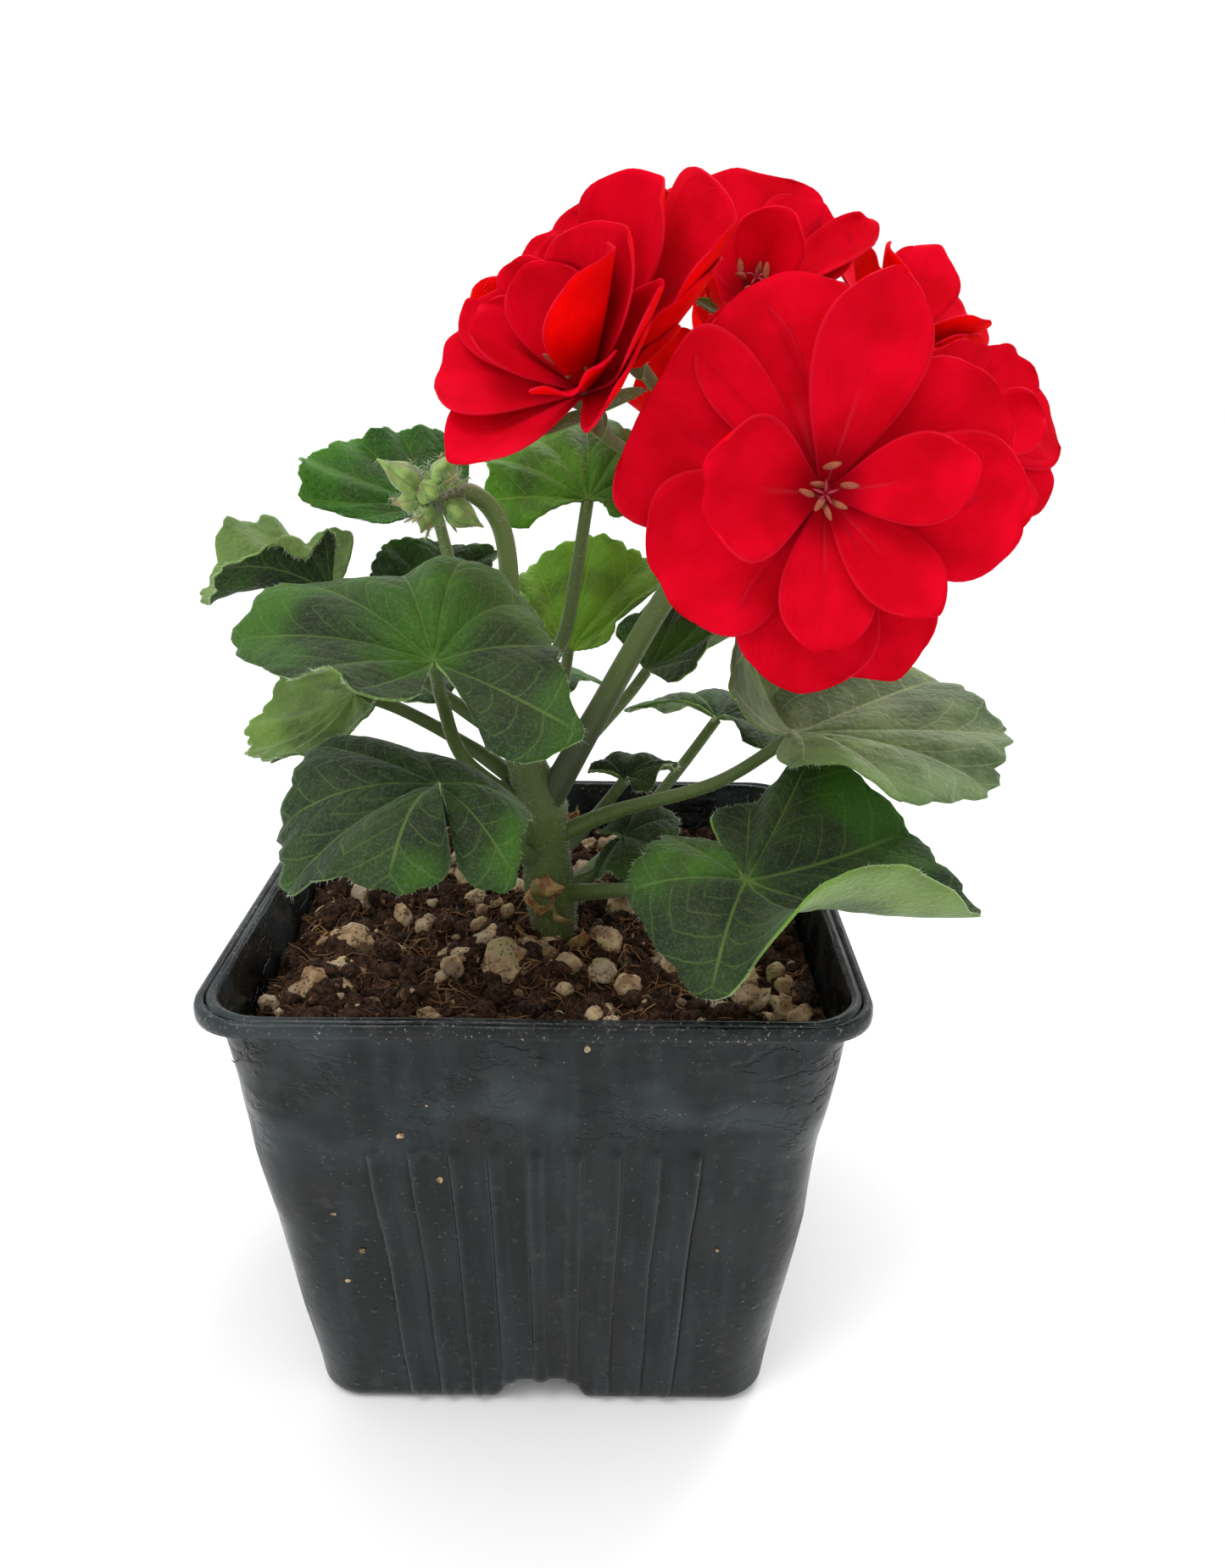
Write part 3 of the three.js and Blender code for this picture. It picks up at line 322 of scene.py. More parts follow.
shell = thicken(skin("pot_shell", RING_COLUMNS, len(profile) - 1, pot_shape), POT_WALL)
for x in (-DRAIN_OFFSET, DRAIN_OFFSET):
    for y in (-DRAIN_OFFSET, DRAIN_OFFSET):
        deselect()
        size = {"radius": DRAIN_RADIUS * MM, "depth": PUNCH_DEPTH * MM}
        bpy.ops.mesh.primitive_cylinder_add(vertices=32, location=(x * MM, y * MM, 0), **size)
        punch = bpy.context.object
        hole = shell.modifiers.new("hole", "BOOLEAN")
        hole.object = punch
        hole.solver = "MANIFOLD"
        bpy.context.view_layer.objects.active = shell
        bpy.ops.object.modifier_apply(modifier=hole.name)
        bpy.data.objects.remove(punch)
settle(shell, "pot_plastic", pot_plastic)
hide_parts("pot")

# The peat fills the pot to a finger's breadth under its rim. It is torn moss with roots and fibres
# in it, heaped a little round the stem.

SOIL_LEVEL = 75
SOIL_SQUARENESS = 9
SOIL_FLOOR = 6
SOIL_STEPS = 160
WALL_ROOM = 0.5
SOIL_CLODS = [(1.8, 7, 0), (1.7, 3, 40), (0.8, 1.2, 80)]  # height, size and place in the noise


def soil_height(x, y):
    heap = 3.2 * np.exp(-((x - 1) ** 2 + (y + 6) ** 2) / 260)
    clods = 0.9 * np.sin(x * 0.31 + 1.3) * np.cos(y * 0.27)
    clods = clods + 0.6 * np.sin(x * 0.63 + y * 0.51) + 0.4 * np.cos(y * 0.9)
    return SOIL_LEVEL + heap + clods


def soil_shape(u, v):
    x, y = 2 * u - 1, 2 * v - 1
    widest = np.maximum(np.maximum(np.abs(x), np.abs(y)), 1e-3)
    corner = (np.abs(x / widest) ** SOIL_SQUARENESS + np.abs(y / widest) ** SOIL_SQUARENESS).clip(1)
    half = pot_half(SOIL_LEVEL) - POT_WALL - WALL_ROOM
    x, y = (half * side / corner ** (1 / SOIL_SQUARENESS) for side in (x, y))
    points = np.stack([x, y, soil_height(x, y)], 1)
    clods = rough(points * [1, 1, 0], SOIL_CLODS)
    points[:, 2] += clods * np.clip((half - np.maximum(np.abs(x), np.abs(y))) / 2, 0.3, 1)
    return points


peat_brown, shader, place = new_finish("peat_brown", Roughness=0.95, Specular_IOR_Level=0.2)
clump = patches(place, 6, 5, 0.35, 0.65)
thread = patches(place, 0.9, 4, 0.4, 0.62)
peat_colour = mixed(clump, paint(22, 16, 11), paint(52, 35, 25))
peat_colour = mixed(thread * 0.8, peat_colour, paint(88, 60, 42))
pale_peat = patches(place, 2.2, 3, 0.62, 0.7)
mixed(pale_peat, peat_colour, paint(136, 106, 78)).into(shader, "Base Color")
emboss(mottle(place, 0.6, 5), 1.2, shader)

bed = skin("peat_bed", SOIL_STEPS, SOIL_STEPS, soil_shape)
bpy.ops.object.mode_set(mode="EDIT")
bpy.ops.mesh.select_mode(type="EDGE")
bpy.ops.mesh.select_all(action="DESELECT")
bpy.ops.mesh.select_non_manifold()
bpy.ops.mesh.extrude_region_move()
narrow = (pot_half(SOIL_FLOOR) - POT_WALL - 2 * WALL_ROOM) / (pot_half(SOIL_LEVEL) - POT_WALL)
bpy.ops.transform.resize(value=(narrow, narrow, 0), center_override=(0, 0, SOIL_FLOOR * MM))
bpy.ops.mesh.edge_face_add()
bpy.ops.object.mode_set(mode="OBJECT")
settle(bed, "peat", peat_brown)
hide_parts("soil")

# Pumice grains lie half sunk in the peat: pale, angular and pitted, stained brown by it and in
# places green. The large ones are where the real pot has them, the small ones are strewn.


def fused(name, parts, slot, material):
    """One finished piece of many small parts, each its points, in millimetres, and its faces."""
    points, faces, count = [], [], 0
    for own_points, own_faces in parts:
        points.append(own_points)
        faces.extend((own_faces + count).tolist())
        count += len(own_points)
    mesh = bpy.data.meshes.new(name)
    mesh.from_pydata(np.concatenate(points) * MM, [], faces)
    piece = bpy.data.objects.new(name, mesh)
    bpy.context.scene.collection.objects.link(piece)
    mesh.shade_smooth()
    settle(piece, slot, material)


def turned(draw):
    """A random turn."""
    return np.array(Matrix.Rotation(draw.uniform(0, 6.28), 3, Vector(draw.normal(size=3)).normalized()))


LARGE_STONES = [  # x, y and width
    (-38.5, -25.4, 7.6), (-46, -29.5, 4.6), (-6.3, -18, 9.5), (-11.5, -12, 7), (-35.5, -6.3, 7.9),
    (-27.3, -12, 4.5), (-43.5, 1.8, 4.2), (-42.8, 9.9, 6), (-33.9, 14.9, 5), (-30.5, 22.3, 4.2),
    (-37.5, 10.9, 8), (-15.4, 10.6, 6), (-11.6, 14.6, 4.5), (-14.7, -16.7, 4.2), (11.4, -12.4, 5.5),
    (19.3, -14.5, 4.2), (24.1, -9.6, 4), (14.1, 5.7, 9.5), (6.3, 19, 7), (5.9, 36.3, 5.6),
    (-43.9, 35, 5.5), (-43.8, 26.1, 6.5), (-24.9, 30.1, 4.5), (-20.2, 28.9, 5.4), (31, -30.1, 3.2),
    (37.9, -31.3, 3), (40.6, 30.4, 4.5), (22, 26, 5), (30, 8, 4.5),
]
SMALL_STONES = 430
CRUMB_ROOM = 0.4  # between the wall and what lies beside it
SMALLEST_STONE = 1
STONE_SPREAD = 4.4
STONE_REACH = 45  # how far from the pot's middle they are strewn
STONE_GRIDS = (2.7, 1.3)  # the widths from which a finer ball is used
STONE_LUMPS = [(0.34, 0.9), (0.16, 0.35)]  # height and size, on a ball of radius 1
PIT_SIZE = 1.3
LARGE_SUNK = 0.35  # the share of its height that is in the peat
SMALL_SUNK = 0.3


def stone(grid, width, draw):
    """A grain of pumice: a lump with flat sides and pits."""
    points, faces = grid
    offset = draw.uniform(0, 500)
    radius = 1 + rough(points, [(*lump, offset) for lump in STONE_LUMPS])
    pits = np.clip(rumple(points * width / 2 + offset, PIT_SIZE) - 0.25, 0, 1)
    shape = points * (radius - 0.5 * pits * PIT_SIZE / width)[:, None]
    shape = shape * [1, draw.uniform(0.65, 0.95), draw.uniform(0.55, 0.85)]
    return shape @ turned(draw).T * width / 2, faces


def ball(subdivisions):
    """The points, in millimetres, and the faces of a ball of radius 1."""
    deselect()
    bpy.ops.mesh.primitive_ico_sphere_add(subdivisions=subdivisions, radius=MM)
    piece = bpy.context.object
    points = np.array([v.co[:] for v in piece.data.vertices]) / MM
    faces = np.array([p.vertices[:] for p in piece.data.polygons])
    bpy.data.objects.remove(piece)
    return points, faces


def lying(part, x, y, sunk):
    """Lowers a small part onto the peat at x, y, clear of the wall, with a share of it sunk in."""
    points, faces = part
    room = CORNER_FOOT - np.hypot(points[:, 0], points[:, 1]).max()
    straight = pot_half(SOIL_LEVEL) - POT_WALL - CRUMB_ROOM - CORNER_FOOT
    inside = np.clip([x, y], -straight, straight)
    past = np.array([x, y]) - inside
    x, y = inside + past * min(1, room / (np.linalg.norm(past) + 1e-9))
    hit, where, _, _ = bed.ray_cast(Vector((x * MM, y * MM, 0.2)), Vector((0, 0, -1)))
    level = where.z / MM if hit else SOIL_LEVEL
    lift = level - points[:, 2].min() - sunk * np.ptp(points[:, 2])
    return points + [x, y, lift], faces


draw = np.random.default_rng(3)
fine_ball, rough_ball, plain_ball, crumb_ball = ball(4), ball(3), ball(2), ball(1)


def grid_for(width, least_rough, least_plain):
    """The ball that a small grain or crumb is shaped from, finer for a wider one."""
    if width > least_rough:
        return rough_ball
    return plain_ball if width > least_plain else crumb_ball


stones = [lying(stone(fine_ball, width, draw), x, y, LARGE_SUNK) for x, y, width in LARGE_STONES]
for _ in range(SMALL_STONES):
    x, y = draw.uniform(-STONE_REACH, STONE_REACH, 2)
    width = SMALLEST_STONE + STONE_SPREAD * draw.random() ** 2
    stones.append(lying(stone(grid_for(width, *STONE_GRIDS), width, draw), x, y, SMALL_SUNK))

pumice, shader, place = new_finish("pumice", Roughness=0.9, Specular_IOR_Level=0.25)
shade = patches(place, 3.5, 4, 0.35, 0.65)
stone_colour = mixed(shade, paint(142, 112, 80), paint(208, 182, 144))
stone_colour = mixed(patches(place, 9, 2, 0.5, 0.62) * 0.5, stone_colour, paint(178, 168, 150))
stone_colour = mixed(patches(place, 2, 5, 0.56, 0.66) * 0.8, stone_colour, paint(92, 62, 40))
algae = patches(place, 7, 3, 0.6, 0.68)
stone_colour = mixed(algae * 0.6, stone_colour, paint(128, 132, 62))
pores = 1 - between(cells(place, 0.9), 0.1, 0.3)
mixed(pores * 0.75, stone_colour, paint(88, 66, 48)).into(shader, "Base Color")
emboss(mottle(place, 0.5, 5) - pores * 0.8, 0.35, shader)

fused("pumice_grains", stones, "peat", pumice)

# Torn peat lies over the bed: crumbs, and red-brown root fibres that curl out of it. Some crumbs
# and husks stick to the outside of the pot.

CRUMBS = 2000
SMALLEST_CRUMB = 0.7
CRUMB_SPREAD = 5.5
CRUMB_REACH = 46.5
CRUMB_GRIDS = (3.5, 1.1)
CRUMB_SUNK = 0.4
FIBRES = 2000
FIBRE_STEPS = 6
FIBRE_REACH = 46
FIBRE_LIMIT = 47
FLECKS = 60
SMALLEST_FLECK = 0.5
FLECK_SPREAD = 1.1
FLECK_REACH = 38
RIM_HEIGHT = 3


def three_sides(line, ahead, radius):
    """Three points round each point of a line that runs ahead."""
    side = np.cross(ahead, [0.31, 0.17, 0.93])
    over = np.cross(ahead, side)
    side, over = (way / (np.linalg.norm(way, axis=-1, keepdims=True) + 1e-9) for way in (side, over))
    turns = [0, 2 * math.pi / 3, 4 * math.pi / 3]
    return [line + radius * (math.cos(turn) * side + math.sin(turn) * over) for turn in turns]


def strands(paths, thickness):
    """Three-sided threads along paths (count, points, xyz), thinner towards both ends."""
    count, steps, _ = paths.shape
    taper = 0.25 + 0.75 * np.sin(np.linspace(0.15, math.pi - 0.15, steps))
    radius = np.asarray(thickness).reshape(-1, 1, 1) / 2 * taper.reshape(1, -1, 1)
    rings = three_sides(paths, np.gradient(paths, axis=1), radius)
    points = np.stack(rings, 2).reshape(-1, 3)
    own = []
    for step in range(steps - 1):
        for corner in range(3):
            a, b = 3 * step + corner, 3 * step + (corner + 1) % 3
            own += [[a, b, b + 3], [a, b + 3, a + 3]]
    own += [[2, 1, 0], [3 * steps - 3, 3 * steps - 2, 3 * steps - 1]]
    own = np.array(own)
    faces = (own[None] + 3 * steps * np.arange(count)[:, None, None]).reshape(-1, 3)
    return points, faces


crumbs = []
for _ in range(CRUMBS):
    x, y = draw.uniform(-CRUMB_REACH, CRUMB_REACH, 2)
    width = SMALLEST_CRUMB + CRUMB_SPREAD * draw.random() ** 4
    crumbs.append(lying(stone(grid_for(width, *CRUMB_GRIDS), width, draw), x, y, CRUMB_SUNK))
fused("peat_crumbs", crumbs, "peat", peat_brown)

fibre_brown, shader, place = new_finish("fibre_brown", Roughness=0.85, Specular_IOR_Level=0.3)
hue = patches(place, 5, 2, 0.35, 0.65)
mixed(hue, paint(70, 46, 30), paint(150, 112, 76)).into(shader, "Base Color")

paths = np.zeros((FIBRES, FIBRE_STEPS, 3))
for path in paths:
    x, y = draw.uniform(-FIBRE_REACH, FIBRE_REACH, 2)
    heading, bend = draw.uniform(0, 6.28), draw.normal(0, 0.5)
    stride = draw.uniform(0.4, 1.6)
    rise = draw.uniform(-0.1, 0.35)
    for step in range(FIBRE_STEPS):
        level = soil_height(x, y) + 0.5 + rise * step + 0.5 * draw.random()
        path[step] = (x, y, level)
        step_on = [x + stride * math.cos(heading), y + stride * math.sin(heading)]
        x, y = np.clip(step_on, -FIBRE_LIMIT, FIBRE_LIMIT)
        heading += bend
fused("peat_fibres", [strands(paths, draw.uniform(0.12, 0.42, FIBRES))], "peat", fibre_brown)

flecks = []
for _ in range(FLECKS):
    side, level = draw.integers(0, 4), POT_HEIGHT * draw.uniform(0.04, 0.99)
    part, faces = stone(plain_ball, SMALLEST_FLECK + FLECK_SPREAD * draw.random() ** 2, draw)
    part = part * [1, 0.4, 1] + [draw.uniform(-FLECK_REACH, FLECK_REACH), -pot_half(level), level]
    if level > POT_HEIGHT - RIM_HEIGHT:
        part = part * [1, 0, 1] + [0, -POT_WIDTH / 2 + 0.4, 0]
        part = part + [0, 1, 0] * draw.uniform(0, 2.6, 1)
    turn = np.array(Matrix.Rotation(side * math.pi / 2, 3, "Z"))
    flecks.append((part @ turn.T, faces))
fused("stuck_husks", flecks, "peat", pumice)

# The stem is stout and green, brown and bare at its foot, with swollen joints where the leaves
# spring. It forks below the leaves. Dry brown stipules still clasp it, and it has short hairs.

STEM_FOOT = [1.4, -6, 44]
STEM_FORK = [-1, -6, 103]
STEM_TIP = [-8, -1, 127]
STEM_RADII = [4.1, 4.1, 4.3, 4.9, 4.1, 4.9, 4.2, 5]
BRANCH_RADII = [4.6, 3.4, 4, 2.4]
MELT_SIZE = 0.55
STEM_HAIRS = 2600
HAIR_LENGTH = 0.7
HAIR_THICKNESS = 0.07


def through(knots, places, power=0.25):
    """Points at places 0 to n - 1 of the smooth curve through n knots."""
    knots = np.asarray(knots, float)
    padded = np.array([2 * knots[0] - knots[1], *knots, 2 * knots[-1] - knots[-2]])
    low = np.clip(np.floor(places).astype(int), 0, len(knots) - 2)
    a, b, c, d = (padded[low + i] for i in range(4))
    t = (places - low)[:, None]
    gaps = [np.maximum(((q - p) ** 2).sum(1) ** power, 1e-3)[:, None] for p, q in ((a, b), (b, c), (c, d))]
    before, here, after = gaps
    start = ((b - a) / before - (c - a) / (before + here) + (c - b) / here) * here
    end = ((c - b) / here - (d - b) / (here + after) + (d - c) / after) * here
    cubic = 2 * b - 2 * c + start + end
    square = -3 * b + 3 * c - 2 * start - end
    return b + t * (start + t * (square + t * cubic))


def tube(name, path, radii, sides, rows, ribs=0, ribbing=0.0):
    """A round stalk along a smooth curve, closed at both ends. Radii follow it in even steps."""
    dense = through(path, np.linspace(0, len(path) - 1, 240))
    length = np.concatenate([[0], np.cumsum(np.linalg.norm(np.diff(dense, axis=0), axis=1))])
    shares = np.linspace(0, 1, rows - 1)
    line = np.stack([np.interp(shares * length[-1], length, dense[:, i]) for i in range(3)], 1)
    ahead = np.gradient(line, axis=0)
    ahead /= np.linalg.norm(ahead, axis=1, keepdims=True)
    side = np.cross(ahead[0], [0.3, 0.9, 0.2])
    sides_at = []
    for direction in ahead:
        side = side - direction * side.dot(direction)
        side = side / np.linalg.norm(side)
        sides_at.append(side)
    side = np.array(sides_at)
    over = np.cross(ahead, side)
    radius = np.interp(shares * (len(radii) - 1), np.arange(len(radii)), radii)
    # The first and last row close the ends
    line, side, over, radius = (
        np.concatenate([values[:1], values, values[-1:]]) for values in (line, side, over, radius)
    )
    radius[0] = radius[-1] = 0

    def shape(u, v):
        row = np.round(v * rows).astype(int)
        turn = -2 * math.pi * np.round(u * sides) / sides
        size = radius[row] * (1 + ribbing * np.cos(ribs * turn))
        return line[row] + (side[row].T * np.cos(turn) * size + over[row].T * np.sin(turn) * size).T

    return skin(name, sides, rows, shape)


def join(*pieces):
    """Joins pieces into the first."""
    deselect()
    for piece in pieces:
        piece.select_set(True)
    bpy.context.view_layer.objects.active = pieces[0]
    bpy.ops.object.join()
    return pieces[0]


def bristles(roots, tips):
    """Thin three-sided hairs from roots to tips."""
    foot = three_sides(roots, tips - roots, HAIR_THICKNESS / 2)
    points = np.stack([*foot, tips], 1).reshape(-1, 3)
    own = np.array([[0, 1, 3], [1, 2, 3], [2, 0, 3], [0, 2, 1]])  # each hair's sides and foot
    faces = (own[None] + 4 * np.arange(len(roots))[:, None, None]).reshape(-1, 3)
    return points, faces


def fur(piece, count, length, draw, lean=0.5, above=-1e9):
    """Hairs that stand out of a piece's surface all over."""
    faces = piece.data.polygons
    middle, normal = np.empty((2, len(faces), 3), np.float32)
    area = np.empty(len(faces), np.float32)
    faces.foreach_get("center", middle.ravel())
    faces.foreach_get("normal", normal.ravel())
    faces.foreach_get("area", area)
    area *= middle[:, 2] > above * MM
    chosen = draw.choice(len(faces), count, p=area / area.sum())
    jitter = draw.normal(size=(count, 3)) * np.sqrt(area[chosen])[:, None] * 0.3
    jitter -= normal[chosen] * (jitter * normal[chosen]).sum(1, keepdims=True)
    roots = (middle[chosen] + jitter) / MM
    ahead = normal[chosen] + lean * draw.normal(size=(count, 3))
    ahead /= np.linalg.norm(ahead, axis=1, keepdims=True)
    sizes = length * draw.uniform(0.5, 1.2, (count, 1))
    return bristles(roots, roots + ahead * sizes)


hair_white, shader, place = new_finish("hair_white", Roughness=0.5, Subsurface_Weight=0.3)
mixed(mottle(place, 4, 1), paint(196, 206, 176), paint(226, 230, 214)).into(shader, "Base Color")


def fleshy(name, flesh=0.25, down=0.12):
    """The finish of stalks and buds: soft, a little see-through, with a sheen of down."""
    return new_finish(
        name,
        Roughness=0.55,
        Subsurface_Weight=flesh,
        Subsurface_Scale=0.0015,
        Subsurface_Radius=(0.6, 1, 0.25),
        Sheen_Weight=down,
    )


stem_green, shader, place = fleshy("stem_green")
height = axis(place, "Z")
bark = 1 - between(height, 0.078, 0.094)
stem_colour = mixed(mottle(place, 6, 3, (1, 1, 0.3)), paint(52, 76, 22), paint(92, 114, 46))
bark = bark * patches(place, 5, 3, 0.25, 0.6)
stem_colour = mixed(bark * 0.7, stem_colour, paint(74, 58, 32))
stem_speck = patches(place, 1.2, 4, 0.6, 0.75) * 0.4
mixed(stem_speck, stem_colour, paint(50, 60, 30)).into(shader, "Base Color")
emboss(mottle(place, 1.1, 4, (1, 1, 0.35)), 0.25, shader)

trunk = tube("main_stem", [STEM_FOOT, [1.4, -6, 76], [0, -6, 92], STEM_FORK], STEM_RADII, 20, 40)
branch = tube("stem_branch", [STEM_FORK, [-5, -4, 115], STEM_TIP], BRANCH_RADII, 20, 20)
trunk = join(trunk, branch)
melt = trunk.modifiers.new("melt", "REMESH")
melt.mode = "VOXEL"
melt.voxel_size = MELT_SIZE * MM
relax = trunk.modifiers.new("relax", "SMOOTH")
relax.iterations = 8
for modifier in (melt.name, relax.name):
    bpy.ops.object.modifier_apply(modifier=modifier)
bpy.ops.object.shade_smooth()
settle(trunk, "stem_green", stem_green)
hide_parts("stem")

draw = np.random.default_rng(7)
stem_fur = fur(trunk, STEM_HAIRS, HAIR_LENGTH, draw, above=SOIL_LEVEL + 2)
fused("stem_hairs", [stem_fur], "stem_green", hair_white)

STIPULES = [  # foot, heading, length and width
    ([0.4, -9.9, 87.4], [0, -0.35, 0.9], 4.6, 6.2),
    ([-0.8, -10.4, 88], [-0.15, -0.5, -0.8], 4.6, 5.6),
    ([3.6, -9.3, 81.6], [-0.5, -0.5, 0.75], 5.2, 4.4),
    ([5.2, -9.8, 75.2], [0.25, -0.5, 0.9], 7.4, 5),
    ([-2.6, -8.4, 78], [-0.6, -0.5, 0.6], 4.6, 4.2),
    ([1.4, -1.8, 84.6], [0.1, 0.5, 0.8], 5.2, 6),
    ([-4.2, -4.6, 95], [-0.7, 0.2, 0.7], 5, 4.6),
    ([3, -3.2, 97], [0.6, 0.6, 0.7], 4.6, 4.4),
]
RAGGED = 0.14
STIPULE_CUP = 0.55
STIPULE_THICKNESS = 0.16


def scale_leaf(name, foot, heading, length, width, cup=0.35, ragged=0.0):
    """A small pointed scale, a stipule or a bract, hollow on its inner side."""
    ahead = np.array(heading, float)
    ahead /= np.linalg.norm(ahead)
    side = np.cross(ahead, [0, 0, 1])
    side /= np.linalg.norm(side) + 1e-9
    over = np.cross(side, ahead)

    def shape(u, v):
        across = 2 * u - 1
        half = width / 2 * np.sin(3.14 * np.clip(v**1.2 * 0.7 + 0.3, 0, 1)) ** 0.9
        tear = ragged * np.sin(9 * across + 4 * width) * np.sin(3 * across + length)
        rise = cup * half * (across**2 - 1) - ragged * width * np.sin(5 * v + 2 * across) * v
        reach = length * v * (1 - 0.12 * across**2 + tear * v)
        points = np.outer(reach, ahead) + np.outer(half * across, side) + np.outer(rise, over)
        return points + np.array(foot, float)

    return skin(name, 10, 12, shape)


papery, shader, place = new_finish("papery", Roughness=0.7, Subsurface_Weight=0.3, Subsurface_Scale=0.001)
tan = mixed(patches(place, 2.2, 3, 0.38, 0.62), paint(130, 86, 46), paint(178, 150, 94))
tan = mixed(patches(place, 3.4, 2, 0.42, 0.58) * 0.75, tan, paint(104, 108, 50))
mixed(patches(place, 0.9, 4, 0.55, 0.7) * 0.6, tan, paint(78, 48, 26)).into(shader, "Base Color")
emboss(mottle(place, 0.5, 3, (1, 1, 0.25)), 0.35, shader)
stipules = join(
    *(thicken(scale_leaf("stipule", *row, STIPULE_CUP, RAGGED), STIPULE_THICKNESS) for row in STIPULES)
)
stipules.name = "stipules"
settle(stipules, "stem_green", papery)

# The leaves are round and softly lobed, scalloped at the edge, with a notch at the petiole. Ribs
# fan out to the lobes, sunk above and raised below, and a soft down covers both faces.

NOTCH_TURN = 27
NOTCH_SHARE = 0.6
LOBE_DEPTH = 0.04
TOOTH_DEPTH = 0.045
TEETH = 22
PLEAT = 0.8
LEAF_THICKNESS = 0.45
SIDE_VEINS = 5.5
SIDE_SLANT = 3.2
TOOTH_START = 0.84  # the share of the way out where the scallops begin
RIB_WIDTH = 0.8
RIB_DEPTH = 0.4
SWELL_HEIGHT = 0.22
EDGE_FLUTTER = 0.35

